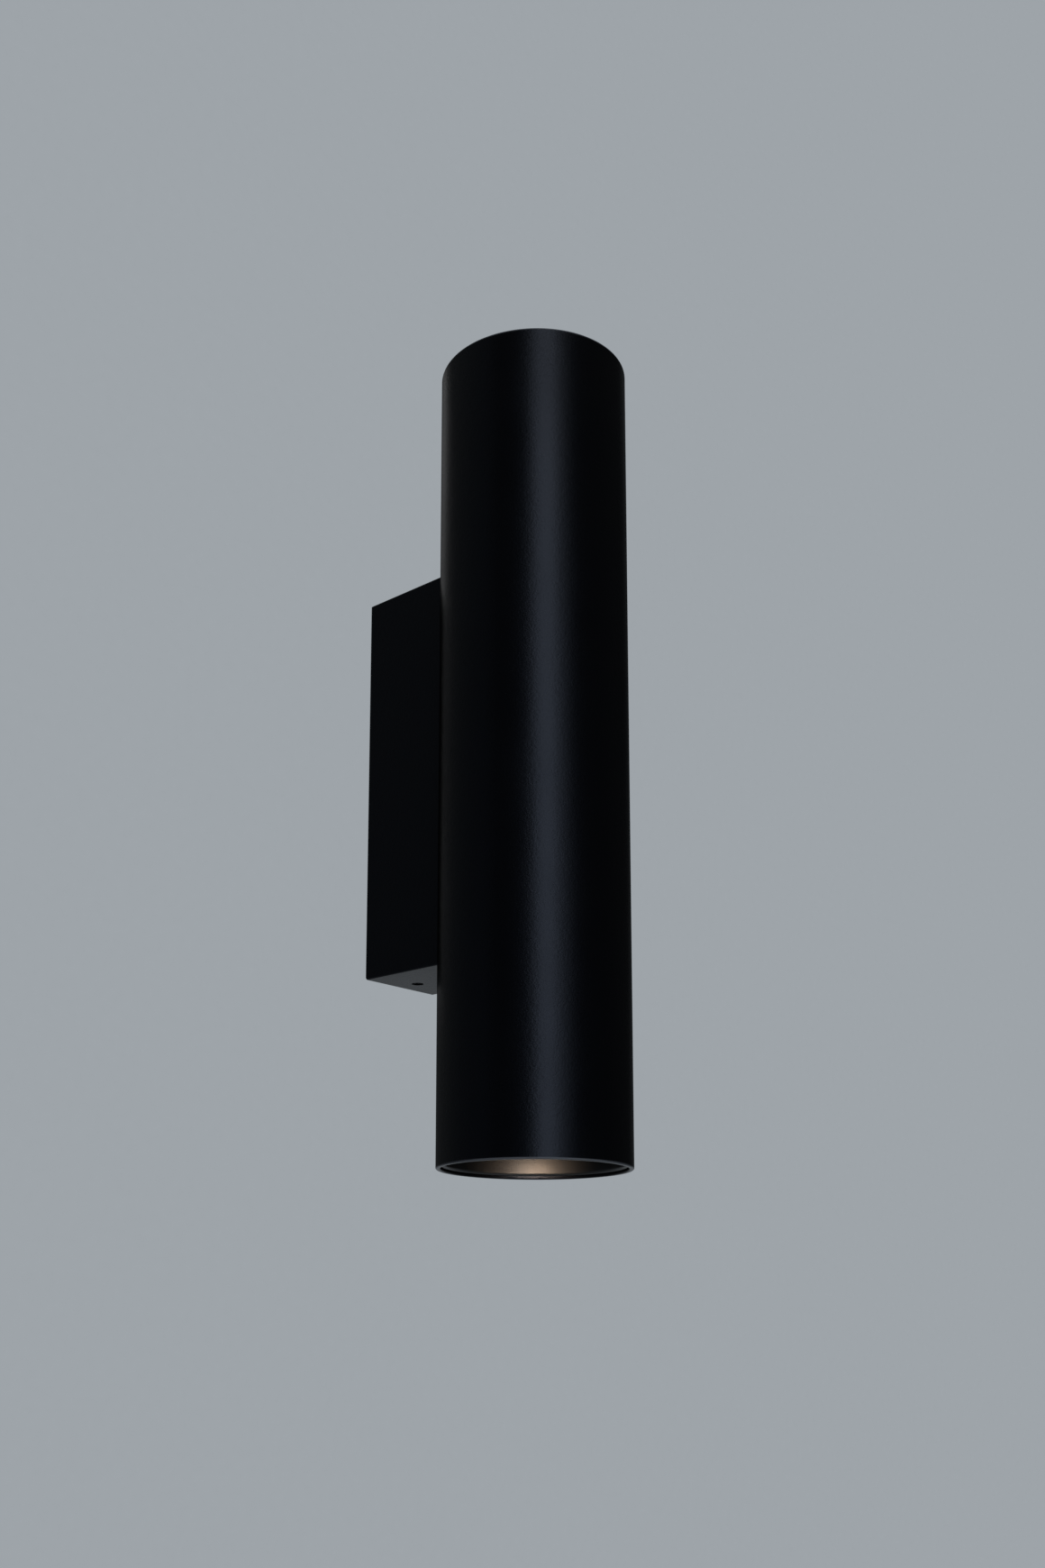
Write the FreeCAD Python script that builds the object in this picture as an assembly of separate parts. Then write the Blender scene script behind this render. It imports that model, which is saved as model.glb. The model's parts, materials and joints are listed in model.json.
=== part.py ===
import FreeCAD, Part
import math
import os

# Up-and-down tube wall light, in millimetres.
# The wall is the plane Y = 0 and the light stands out from it towards -Y. +Z is up.
# The origin is on the wall, level with the middle of the tube.
# Each end of the tube holds the same lamp, lampholder and baffle. They are drawn for the
# upper end, and half a turn about Y puts the same pieces at the lower end.

# Tube
TUBE_DIAMETER = 60.0
TUBE_WALL = 1.5
TUBE_LENGTH = 260.0
TUBE_STANDOFF = 58.5  # from the wall to the tube's axis
RIM_BREAK = 0.3  # chamfer on the rim's two edges

# Mount box, a casting that is open towards the wall and hollowed in front to seat the tube
BOX_WIDTH = 32.0
BOX_HEIGHT = 130.0
BOX_WALL = 2.0
BOX_CORNER = 0.8  # rounding of its four long corners
LAND_WIDTH = 18.0  # flat land inside its front, where screws and terminals sit
LAND_HEIGHT = 112.0
LAND_RISE = 0.8  # height of the land over the middle of the curved front wall
THREAD_PAD_WIDTH = 12.0  # thick spots in its two ends, tapped for the retaining screws
THREAD_PAD_DEPTH = 14.0
THREAD_PAD_RISE = 2.0

# Wall plate, bent from steel sheet
PLATE_THICKNESS = 1.5
PLATE_SIDE_GAP = 0.75  # to the box's inner walls
PLATE_END_GAP = 0.4  # to the thread pads
PLATE_TAB_DEPTH = 15.0
PLATE_BEND = 2.0  # outer radius of its bends
WALL_SLOT_SPACING = 84.0
WALL_SLOT_WIDTH = 4.5
WALL_SLOT_LENGTH = 10.0
CABLE_HOLE_DIAMETER = 16.0
CABLE_HOLE_DROP = 24.0  # below the middle
GROMMET_BORE = 11.0
GROMMET_FLANGE = 20.0
GROMMET_FLANGE_HEIGHT = 1.5

# Retaining screws, which clamp the box on the wall plate's tabs
GRUB_DIAMETER = 4.0
GRUB_FROM_WALL = 8.0
GRUB_TIP_GAP = 0.1
GRUB_SUNK = 0.4
GRUB_SOCKET = 2.0  # across flats
GRUB_SOCKET_DEPTH = 2.0

# Screws that hold box, tube and brackets together
FIXING_SCREW_HEIGHT = 44.0  # above and below the middle
FIXING_SCREW_DIAMETER = 4.0
FIXING_SCREW_LENGTH = 10.0
FIXING_CLEARANCE = 0.15
FIXING_HEAD_DIAMETER = 8.0
FIXING_HEAD_HEIGHT = 2.6
FIXING_HEAD_BEVEL = 0.8
WASHER_DIAMETER = 9.0
WASHER_THICKNESS = 0.8

# Bush that carries the leads through the box and the tube
BUSH_HEIGHT = 24.0  # above the middle
BUSH_DIAMETER = 10.0
BUSH_BORE = 8.2
BUSH_FLANGE_DIAMETER = 13.0
BUSH_FLANGE_THICKNESS = 1.5
BUSH_END = 0.8  # how far it shows inside the tube

# Push-in terminal block: live, neutral and earth, with two entries for each on either side
TERMINAL_POLES = 3
TERMINAL_PITCH = 5.0
TERMINAL_SIDE_WALL = 0.8
TERMINAL_LENGTH = 17.0
TERMINAL_HEIGHT = 12.5
TERMINAL_EAR_LENGTH = 6.0
TERMINAL_EAR_HEIGHT = 3.0
TERMINAL_ROWS = (6.5, 9.3)  # height of the two rows of entries above the land
TERMINAL_ENTRY_WIDTH = 3.6
TERMINAL_ENTRY_HEIGHT = 2.2
TERMINAL_ENTRY_DEPTH = 6.0
TERMINAL_SCREW_DIAMETER = 3.0
TERMINAL_HEAD_DIAMETER = 5.0
TERMINAL_HEAD_HEIGHT = 1.8
TERMINAL_SCREW_REACH = 2.5  # into the box's front wall

# Earth tag under the upper fixing screw, with its barrel across the tail
TAG_THICKNESS = 0.8
TAG_DIAMETER = 8.4
TAG_TAIL_WIDTH = 6.0
TAG_BARREL_X = 7.9
TAG_BARREL_DIAMETER = 3.0
TAG_BARREL_LENGTH = 8.0

# Leads: the two of each lampholder lie side by side in one flat sleeve
LEAD_DIAMETER = 1.6
LEAD_IN_TERMINAL = 4.0
SLEEVE_WIDTH = 5.0
SLEEVE_THICKNESS = 2.2
SLEEVE_BEVEL = 0.6
SLEEVE_SPACING = 2.6  # between the two sleeves where they share the bush
SLEEVE_LEAD_OFFSET = 1.6  # from the sleeve's middle to each lead
SLEEVE_START = 32.5  # height at which the leads enter their sleeve
SLEEVE_END_GAP = 2.0  # from the sleeve's end to the terminal block
BEND_SHARE = 0.45  # how much of the shorter run a bend takes up

# Lampholder bracket, bent from steel sheet
BRACKET_THICKNESS = 1.5
BRACKET_WIDTH = 18.0
BRACKET_FLANGE_HEIGHT = 33.0  # from the middle of the tube to the flange's inner face
BRACKET_LEG_END = 52.0
BRACKET_REACH = 15.5  # past the tube's axis
BRACKET_BEND = 2.2
BRACKET_LEAD_HOLE = 14.0
SEAT_GAP = 0.05

# Lampholder with its bayonet face
HOLDER_DIAMETER = 31.0
HOLDER_HEIGHT = 18.0
HOLDER_LIP = 2.5
HOLDER_CHAMBER_DIAMETER = 16.4
HOLDER_CHAMBER_DEPTH = 4.5
HOLDER_POCKET_DIAMETER = 14.0  # under its foot, where the leads join the contacts
HOLDER_POCKET_DEPTH = 6.0
HOLDER_SCREW_OFFSET = 11.5
HOLDER_SCREW_DIAMETER = 3.0
HOLDER_HEAD_DIAMETER = 5.5
HOLDER_HEAD_HEIGHT = 2.0
HOLDER_COUNTERBORE_DIAMETER = 6.0
HOLDER_COUNTERBORE_DEPTH = 2.4
HOLDER_NUT_FLATS = 5.5
HOLDER_NUT_HEIGHT = 2.4
CONTACT_THICKNESS = 0.6
CONTACT_LENGTH = 5.0  # towards the rim
CONTACT_WIDTH = 6.0
CONTACT_BLADE_WIDTH = 2.4
CONTACT_BLADE_REACH = 8.5  # from the chamber's floor down into the pocket
CONTACT_PLAY = 0.2

# Lamp with two bayonet pins
PIN_SPACING = 10.0
PIN_NECK_DIAMETER = 3.2
PIN_HEAD_DIAMETER = 5.0
PIN_HEAD_LENGTH = 3.3
PIN_SIDE_PLAY = 0.3
LAMP_TWIST = 25.0  # degrees from locked to free
PART_GAP = 0.3  # between pieces that move past each other
LAMP_LENGTH = 50.0
LAMP_DIAMETER = 50.0
LAMP_RIM_HEIGHT = 6.0
LAMP_BASE_DIAMETER = 20.0
LAMP_BASE_HEIGHT = 8.0
LAMP_NECK_DIAMETER = 29.0
LAMP_NECK_HEIGHT = 11.5
LAMP_SHOULDER_DIAMETER = 43.0  # where the bowl steepens
LAMP_SHOULDER_HEIGHT = 31.0
LENS_DIAMETER = 45.6
LENS_THICKNESS = 2.0
LENS_SUNK = 0.6

# Anti-glare baffle, a sleeve that narrows to a cone at the lamp, with a sprung skirt
BAFFLE_SUNK = 1.0
BAFFLE_MOUTH_DIAMETER = 54.6
BAFFLE_THROAT_DIAMETER = 45.0
BAFFLE_SKIRT_WALL = 0.9
BAFFLE_CONE_WALL = 1.4
BAFFLE_CONE_HEIGHT = 12.0
BAFFLE_SKIRT_HEIGHT = 22.0
BAFFLE_TONGUES = 3
BAFFLE_TONGUE_ANGLE = 22.0  # degrees
BAFFLE_SLIT = 0.9
BAFFLE_SLIT_HEIGHT = 5.0
BAFFLE_FIT = 0.1  # radial clearance of the skirt in the tube

# Values that follow
TUBE_RADIUS = TUBE_DIAMETER / 2
TUBE_BORE_RADIUS = TUBE_RADIUS - TUBE_WALL
TUBE_Y = -TUBE_STANDOFF
TUBE_END = TUBE_LENGTH / 2
BOX_END = BOX_HEIGHT / 2
THREAD_PAD_FACE = BOX_END - BOX_WALL - THREAD_PAD_RISE
PLATE_END = THREAD_PAD_FACE - PLATE_END_GAP
FRONT_INNER_Y = TUBE_Y + TUBE_RADIUS + BOX_WALL
LAND_Y = FRONT_INNER_Y + LAND_RISE
TERMINAL_END = TERMINAL_LENGTH / 2
HOLDER_FOOT = BRACKET_FLANGE_HEIGHT + BRACKET_THICKNESS
HOLDER_FACE = HOLDER_FOOT + HOLDER_HEIGHT
CHAMBER_ROOF = HOLDER_FACE - HOLDER_LIP
CHAMBER_FLOOR = CHAMBER_ROOF - HOLDER_CHAMBER_DEPTH
POCKET_ROOF = HOLDER_FOOT + HOLDER_POCKET_DEPTH
CONTACT_FOOT = CHAMBER_FLOOR - CONTACT_BLADE_REACH
LAMP_FOOT = HOLDER_FACE + PART_GAP
LAMP_FACE = LAMP_FOOT + LAMP_LENGTH
BAFFLE_TOP = TUBE_END - BAFFLE_SUNK
BAFFLE_FOOT = LAMP_FACE + PART_GAP

X = FreeCAD.Vector(1, 0, 0)
Y = FreeCAD.Vector(0, 1, 0)
Z = FreeCAD.Vector(0, 0, 1)
ORIGIN = FreeCAD.Vector(0, 0, 0)
TUBE_CENTRE = FreeCAD.Vector(0, TUBE_Y, 0)
FULL_TURN = 360.0
HALF_TURN = 180.0
HEXAGON_SIDES = 6
PARALLEL = 1e-6  # how far from an axis an edge may stray and still run along it


def at(x, y, z):
    """A point."""
    return FreeCAD.Vector(x, y, z)


def block(x_range, y_range, z_range):
    """A box between the two ends of each range."""
    lows, highs = zip(x_range, y_range, z_range)
    size = [high - low for low, high in zip(lows, highs)]
    return Part.makeBox(*size, at(*lows))


def across(width):
    """The range of a width that is centred on the middle plane."""
    return (-width / 2, width / 2)


def rod(diameter, start, end):
    """A round bar from one point to another."""
    along = end - start
    return Part.makeCylinder(diameter / 2, along.Length, start, along)


def hexagon_bar(flats, start, end):
    """A six-sided bar from one point to another, along Z."""
    corner = flats / math.sqrt(3)
    turns = [math.radians(FULL_TURN / HEXAGON_SIDES * side) for side in range(HEXAGON_SIDES + 1)]
    outline = [start + at(corner * math.cos(turn), corner * math.sin(turn), 0) for turn in turns]
    return Part.Face(Part.makePolygon(outline)).extrude(end - start)


def turned(*outline, angle=FULL_TURN):
    """A solid turned about the tube's axis from an outline of (radius, height) points."""
    corners = [at(radius, 0, height) for radius, height in outline]
    face = Part.Face(Part.makePolygon(corners + corners[:1]))
    solid = face.revolve(ORIGIN, Z, angle)
    solid.translate(TUBE_CENTRE)
    return solid


def ring(inner, outer, y_range, z):
    """A flat ring that faces the wall, in the middle plane at height z."""
    disc = rod(outer, at(0, y_range[0], z), at(0, y_range[1], z))
    return disc.cut(rod(inner, at(0, y_range[0], z), at(0, y_range[1], z)))


def joined(shapes):
    """Several solids made into one."""
    return shapes[0].fuse(shapes[1:]).removeSplitter()


def turned_about(shape, centre, axis, angle):
    """A copy that is turned by an angle."""
    copy = shape.copy()
    copy.rotate(centre, axis, angle)
    return copy


def at_lower_end(shape):
    """A copy of an upper piece, placed at the lower end by half a turn about Y."""
    return turned_about(shape, ORIGIN, Y, HALF_TURN)


def edges_along(shape, axis, test):
    """The straight edges that run along an axis and whose middle passes a test."""
    chosen = []
    for edge in shape.Edges:
        run = edge.Vertexes[-1].Point - edge.Vertexes[0].Point
        straight = isinstance(edge.Curve, Part.Line)
        if straight and run.Length and run.cross(axis).Length < PARALLEL and test(edge.CenterOfMass):
            chosen.append(edge)
    return chosen


def rounded_path(points):
    """A wire of straight runs, with each corner an arc that takes a share of the shorter run."""
    edges = []
    start = points[0]
    for before, corner, after in zip(points, points[1:], points[2:]):
        back = before - corner
        ahead = after - corner
        cut = BEND_SHARE * min(back.Length, ahead.Length)
        enter = corner + back.normalize() * cut
        leave = corner + ahead.normalize() * cut
        inward = (back + ahead).normalize()
        half = back.getAngle(ahead) / 2
        radius = cut * math.tan(half)
        middle = corner + inward * (cut / math.cos(half) - radius)
        edges.append(Part.makeLine(start, enter))
        edges.append(Part.Arc(enter, middle, leave).toShape())
        start = leave
    edges.append(Part.makeLine(start, points[-1]))
    return Part.Wire(edges)


def sleeve(points):
    """A flat sleeve along a path in the middle plane, with its wide side across."""
    path = rounded_path(points)
    run = (points[1] - points[0]).normalize()
    flat = run.cross(X)
    half_width = SLEEVE_WIDTH / 2
    half_depth = SLEEVE_THICKNESS / 2
    outline = []
    for wide, deep in ((1, 1), (-1, 1), (-1, -1), (1, -1)):
        corners = [
            (wide * half_width, deep * (half_depth - SLEEVE_BEVEL)),
            (wide * (half_width - SLEEVE_BEVEL), deep * half_depth),
        ]
        if wide != deep:
            corners.reverse()
        outline += [points[0] + X * x + flat * y for x, y in corners]
    section = Part.makePolygon(outline + outline[:1])
    return path.makePipeShell([section], True, False)


def tube_body():
    """The tube, bored for the two fixing screws and for the bush."""
    tube = turned(
        (TUBE_BORE_RADIUS + RIM_BREAK, TUBE_END),
        (TUBE_RADIUS - RIM_BREAK, TUBE_END),
        (TUBE_RADIUS, TUBE_END - RIM_BREAK),
        (TUBE_RADIUS, RIM_BREAK - TUBE_END),
        (TUBE_RADIUS - RIM_BREAK, -TUBE_END),
        (TUBE_BORE_RADIUS + RIM_BREAK, -TUBE_END),
        (TUBE_BORE_RADIUS, RIM_BREAK - TUBE_END),
        (TUBE_BORE_RADIUS, TUBE_END - RIM_BREAK),
    )
    return tube.cut(front_holes())


def front_holes():
    """The holes that run through the box's front and the tube's back."""
    holes = [rod(BUSH_DIAMETER, at(0, TUBE_Y, BUSH_HEIGHT), at(0, 0, BUSH_HEIGHT))]
    for z in (FIXING_SCREW_HEIGHT, -FIXING_SCREW_HEIGHT):
        hole = FIXING_SCREW_DIAMETER + 2 * FIXING_CLEARANCE
        holes.append(rod(hole, at(0, TUBE_Y, z), at(0, 0, z)))
    return holes


def mount_box():
    """The box: a shell with a saddle for the tube, a flat land inside and two tapped ends."""
    ends = (-BOX_END, BOX_END)
    outside = block(across(BOX_WIDTH), (TUBE_Y, 0), ends)
    outside = outside.makeFillet(BOX_CORNER, edges_along(outside, Y, lambda middle: True))
    tube_space = rod(TUBE_DIAMETER, TUBE_CENTRE - Z * BOX_HEIGHT, TUBE_CENTRE + Z * BOX_HEIGHT)
    front_skin = TUBE_DIAMETER + 2 * BOX_WALL
    skin_space = rod(front_skin, TUBE_CENTRE - Z * BOX_HEIGHT, TUBE_CENTRE + Z * BOX_HEIGHT)
    inner_end = BOX_END - BOX_WALL
    hollow = block(across(BOX_WIDTH - 2 * BOX_WALL), (TUBE_Y, 0), (-inner_end, inner_end))
    shell = outside.cut(tube_space).cut(hollow.cut(skin_space))
    land = block(across(LAND_WIDTH), (TUBE_Y, LAND_Y), across(LAND_HEIGHT)).cut(tube_space)
    pad = block(across(THREAD_PAD_WIDTH), (-THREAD_PAD_DEPTH, 0), (THREAD_PAD_FACE, inner_end))
    box = joined([shell, land, pad, at_lower_end(pad)])
    grub_hole = rod(GRUB_DIAMETER, at(0, -GRUB_FROM_WALL, 0), at(0, -GRUB_FROM_WALL, BOX_HEIGHT))
    z = terminal_screw_z()
    terminal_hole = rod(TERMINAL_SCREW_DIAMETER, at(0, TUBE_Y, z), at(0, 0, z))
    return box.cut(front_holes() + [grub_hole, at_lower_end(grub_hole), terminal_hole])


def wall_plate():
    """The plate that is screwed to the wall, with a tab at each end that the box hangs on."""
    width = BOX_WIDTH - 2 * BOX_WALL - 2 * PLATE_SIDE_GAP
    depth = (-PLATE_TAB_DEPTH, 0)
    outer = block(across(width), depth, (-PLATE_END, PLATE_END))
    outer_bends = edges_along(outer, X, lambda middle: abs(middle.y) < PLATE_THICKNESS)
    outer = outer.makeFillet(PLATE_BEND, outer_bends)
    inner_end = PLATE_END - PLATE_THICKNESS
    inner = block(across(width), (-PLATE_TAB_DEPTH, -PLATE_THICKNESS), (-inner_end, inner_end))
    inner_bends = edges_along(inner, X, lambda middle: middle.y > -PLATE_BEND)
    inner = inner.makeFillet(PLATE_BEND - PLATE_THICKNESS, inner_bends)
    z = -CABLE_HOLE_DROP
    cable_hole = rod(CABLE_HOLE_DIAMETER, at(0, -PLATE_BEND, z), at(0, 0, z))
    return outer.cut([inner, cable_hole] + wall_slots())


def wall_slots():
    """The two upright slots for the wall screws."""
    slots = []
    run = (WALL_SLOT_LENGTH - WALL_SLOT_WIDTH) / 2
    for centre in across(WALL_SLOT_SPACING):
        low, high = centre - run, centre + run
        slots.append(rod(WALL_SLOT_WIDTH, at(0, -PLATE_BEND, low), at(0, 0, low)))
        slots.append(rod(WALL_SLOT_WIDTH, at(0, -PLATE_BEND, high), at(0, 0, high)))
        slots.append(block(across(WALL_SLOT_WIDTH), (-PLATE_BEND, 0), (low, high)))
    return slots


def cable_grommet():
    """The rubber sleeve in the plate's cable hole."""
    z = -CABLE_HOLE_DROP
    face = -PLATE_THICKNESS
    collar = ring(GROMMET_BORE, CABLE_HOLE_DIAMETER, (face, 0), z)
    flange = ring(GROMMET_BORE, GROMMET_FLANGE, (face - GROMMET_FLANGE_HEIGHT, face), z)
    return joined([collar, flange])


def retaining_screws():
    """The two headless screws that clamp the box on the plate's tabs."""
    tip = at(0, -GRUB_FROM_WALL, PLATE_END + GRUB_TIP_GAP)
    end = at(0, -GRUB_FROM_WALL, BOX_END - GRUB_SUNK)
    socket = hexagon_bar(GRUB_SOCKET, end - Z * GRUB_SOCKET_DEPTH, end)
    screw = rod(GRUB_DIAMETER, tip, end).cut(socket)
    return Part.makeCompound([screw, at_lower_end(screw)])


def pan_screw(seat_y, z):
    """A screw that points away from the wall, with a low bevelled head."""
    head = rod(FIXING_HEAD_DIAMETER, at(0, seat_y, z), at(0, seat_y + FIXING_HEAD_HEIGHT, z))
    top = [e for e in head.Edges if e.CenterOfMass.y > seat_y + FIXING_HEAD_BEVEL and e.Closed]
    head = head.makeChamfer(FIXING_HEAD_BEVEL, top)
    tip_y = seat_y - FIXING_SCREW_LENGTH
    return joined([head, rod(FIXING_SCREW_DIAMETER, at(0, tip_y, z), at(0, seat_y, z))])


def washer_seats():
    """Where each fixing screw's washer lies: the upper one lies on the earth tag."""
    return ((FIXING_SCREW_HEIGHT, LAND_Y + TAG_THICKNESS), (-FIXING_SCREW_HEIGHT, LAND_Y))


def fixing_screws():
    """The two screws through box, tube and bracket."""
    return Part.makeCompound([pan_screw(y + WASHER_THICKNESS, z) for z, y in washer_seats()])


def fixing_washers():
    """The washers under the heads of the fixing screws."""
    bore = FIXING_SCREW_DIAMETER + 2 * FIXING_CLEARANCE
    seats = washer_seats()
    return Part.makeCompound([ring(bore, WASHER_DIAMETER, (y, y + WASHER_THICKNESS), z) for z, y in seats])


def wire_bush():
    """The bush that guards the leads where they pass from the box into the tube."""
    inner_y = TUBE_Y + TUBE_BORE_RADIUS - BUSH_END
    collar = ring(BUSH_BORE, BUSH_DIAMETER, (inner_y, LAND_Y), BUSH_HEIGHT)
    flange_range = (LAND_Y, LAND_Y + BUSH_FLANGE_THICKNESS)
    flange = ring(BUSH_BORE, BUSH_FLANGE_DIAMETER, flange_range, BUSH_HEIGHT)
    return joined([collar, flange])


def pole_xs():
    """The places of the terminal block's poles: live and neutral, then earth at the side."""
    return [TERMINAL_PITCH * (pole - 0.5) for pole in range(TERMINAL_POLES)]


def row_ys():
    """The two rows of entries, one for each lamp's leads."""
    return [LAND_Y + height for height in TERMINAL_ROWS]


def terminal_screw_z():
    """The fixing screw stands in the block's ear, below its poles."""
    return -TERMINAL_END - TERMINAL_EAR_LENGTH / 2


def terminal_block():
    """The moulded block, with open entries above and below and an ear for its screw."""
    xs = pole_xs()
    half = TERMINAL_PITCH / 2
    sides = (xs[0] - half - TERMINAL_SIDE_WALL, xs[-1] + half + TERMINAL_SIDE_WALL)
    body = block(sides, (LAND_Y, LAND_Y + TERMINAL_HEIGHT), (-TERMINAL_END, TERMINAL_END))
    ear_range = (-TERMINAL_END - TERMINAL_EAR_LENGTH, -TERMINAL_END)
    ear = block(across(2 * TERMINAL_PITCH), (LAND_Y, LAND_Y + TERMINAL_EAR_HEIGHT), ear_range)
    entries = []
    for x in xs:
        for y in row_ys():
            wide = (x - TERMINAL_ENTRY_WIDTH / 2, x + TERMINAL_ENTRY_WIDTH / 2)
            high = (y - TERMINAL_ENTRY_HEIGHT / 2, y + TERMINAL_ENTRY_HEIGHT / 2)
            entries.append(block(wide, high, (TERMINAL_END - TERMINAL_ENTRY_DEPTH, TERMINAL_END)))
            entries.append(block(wide, high, (-TERMINAL_END, TERMINAL_ENTRY_DEPTH - TERMINAL_END)))
    z = terminal_screw_z()
    hole = rod(TERMINAL_SCREW_DIAMETER + FIXING_CLEARANCE, at(0, TUBE_Y, z), at(0, 0, z))
    return joined([body, ear]).cut(entries + [hole])


def terminal_screw():
    """The screw that holds the terminal block on the land."""
    z = terminal_screw_z()
    seat_y = LAND_Y + TERMINAL_EAR_HEIGHT
    shank = rod(TERMINAL_SCREW_DIAMETER, at(0, LAND_Y - TERMINAL_SCREW_REACH, z), at(0, seat_y, z))
    head = rod(TERMINAL_HEAD_DIAMETER, at(0, seat_y, z), at(0, seat_y + TERMINAL_HEAD_HEIGHT, z))
    return joined([shank, head])


def barrel_ends():
    """The lower and upper end of the earth tag's barrel."""
    y = LAND_Y + TAG_THICKNESS + TAG_BARREL_DIAMETER / 2 - SEAT_GAP
    low = at(TAG_BARREL_X, y, FIXING_SCREW_HEIGHT - TAG_BARREL_LENGTH / 2)
    return low, low + Z * TAG_BARREL_LENGTH


def earth_tag():
    """The ring tag of the earth wire, with its crimped barrel across the tail."""
    hole = at(0, LAND_Y, FIXING_SCREW_HEIGHT)
    top = Y * TAG_THICKNESS
    disc = rod(TAG_DIAMETER, hole, hole + top)
    tail = block((0, TAG_BARREL_X), (LAND_Y, LAND_Y + TAG_THICKNESS), across(TAG_TAIL_WIDTH))
    tail.translate(Z * FIXING_SCREW_HEIGHT)
    bore = FIXING_SCREW_DIAMETER + 2 * FIXING_CLEARANCE
    barrel = rod(TAG_BARREL_DIAMETER, *barrel_ends())
    return joined([disc, tail, barrel]).cut(rod(bore, hole, hole + top))


def earth_wire():
    """The straight wire from the tag's barrel down into the earth pole."""
    end = at(pole_xs()[-1], row_ys()[0], TERMINAL_END - LEAD_IN_TERMINAL / 2)
    barrel = rod(TAG_BARREL_DIAMETER, *barrel_ends())
    return rod(LEAD_DIAMETER, barrel_ends()[0], end).cut(barrel)


def lamp_leads(end_sign, row_y):
    """One lampholder's two leads in their sleeve, out through the bush and into the terminal block."""
    bush_z = BUSH_HEIGHT + end_sign * SLEEVE_SPACING / 2
    solids = [sleeve([
        at(0, TUBE_Y, end_sign * SLEEVE_START),
        at(0, TUBE_Y, bush_z),
        at(0, row_y, bush_z),
        at(0, row_y, TERMINAL_END + SLEEVE_END_GAP),
    ])]
    for side in (-1, 1):
        x = side * SLEEVE_LEAD_OFFSET
        joint_height = CONTACT_FOOT - LEAD_DIAMETER / 4
        joint = at(side * PIN_SPACING / 2, TUBE_Y, end_sign * joint_height)
        solids.append(rod(LEAD_DIAMETER, joint, at(x, TUBE_Y, end_sign * (SLEEVE_START - SLEEVE_END_GAP))))
        bared = at(x, row_y, TERMINAL_END - LEAD_IN_TERMINAL)
        solids.append(rod(LEAD_DIAMETER, bared, at(x, row_y, TERMINAL_END + 2 * SLEEVE_END_GAP)))
    return joined(solids)


def holder_bracket():
    """The bracket that carries a lampholder: a leg on the tube's back and a flange across."""
    half = BRACKET_WIDTH / 2
    leg_y = TUBE_Y + math.sqrt(TUBE_BORE_RADIUS ** 2 - half ** 2) - SEAT_GAP
    low = BRACKET_FLANGE_HEIGHT
    sides = across(BRACKET_WIDTH)
    outer = block(sides, (TUBE_Y - BRACKET_REACH, leg_y), (low, BRACKET_LEG_END))
    outer = outer.makeFillet(BRACKET_BEND, edges_along(
        outer, X, lambda middle: middle.y > TUBE_Y and middle.z < HOLDER_FOOT))
    inner_y = leg_y - BRACKET_THICKNESS
    inner = block(sides, (TUBE_Y - BRACKET_REACH, inner_y), (HOLDER_FOOT, BRACKET_LEG_END))
    inner = inner.makeFillet(BRACKET_BEND - BRACKET_THICKNESS, edges_along(
        inner, X, lambda middle: middle.y > TUBE_Y and middle.z < HOLDER_FOOT + SEAT_GAP))
    bracket = outer.cut(inner)
    cuts = [rod(FIXING_SCREW_DIAMETER, at(0, TUBE_Y, FIXING_SCREW_HEIGHT), at(0, 0, FIXING_SCREW_HEIGHT))]
    cuts.append(rod(BRACKET_LEAD_HOLE, TUBE_CENTRE, TUBE_CENTRE + Z * HOLDER_FACE))
    for y in holder_screw_ys():
        hole = HOLDER_SCREW_DIAMETER + FIXING_CLEARANCE
        cuts.append(rod(hole, at(0, y, 0), at(0, y, HOLDER_FACE)))
    return bracket.cut(cuts)


def holder_screw_ys():
    """The places of the lampholder's two screws, in front of and behind the tube's axis."""
    return (TUBE_Y - HOLDER_SCREW_OFFSET, TUBE_Y + HOLDER_SCREW_OFFSET)


def pin_places():
    """The angles at which the two bayonet pins stand when the lamp is locked."""
    return (0, HALF_TURN)


def around_axis(angle, radius, height):
    """A point at an angle round the tube's axis."""
    turn = math.radians(angle)
    return at(radius * math.cos(turn), TUBE_Y + radius * math.sin(turn), height)


def keyhole(angle):
    """One bayonet slot: a narrow arc from the locked place to a round entry for the pin's head."""
    middle = PIN_SPACING / 2
    neck = PIN_NECK_DIAMETER + 2 * PIN_SIDE_PLAY
    entry = PIN_HEAD_DIAMETER + 2 * PIN_SIDE_PLAY
    low, high = CHAMBER_ROOF - PART_GAP, HOLDER_FACE + PART_GAP
    arc = turned(
        (middle - neck / 2, low),
        (middle + neck / 2, low),
        (middle + neck / 2, high),
        (middle - neck / 2, high),
        angle=LAMP_TWIST,
    )
    arc = turned_about(arc, TUBE_CENTRE, Z, angle)
    free = angle + LAMP_TWIST
    locked_end = rod(neck, around_axis(angle, middle, low), around_axis(angle, middle, high))
    free_end = rod(entry, around_axis(free, middle, low), around_axis(free, middle, high))
    return joined([arc, locked_end, free_end])


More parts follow.
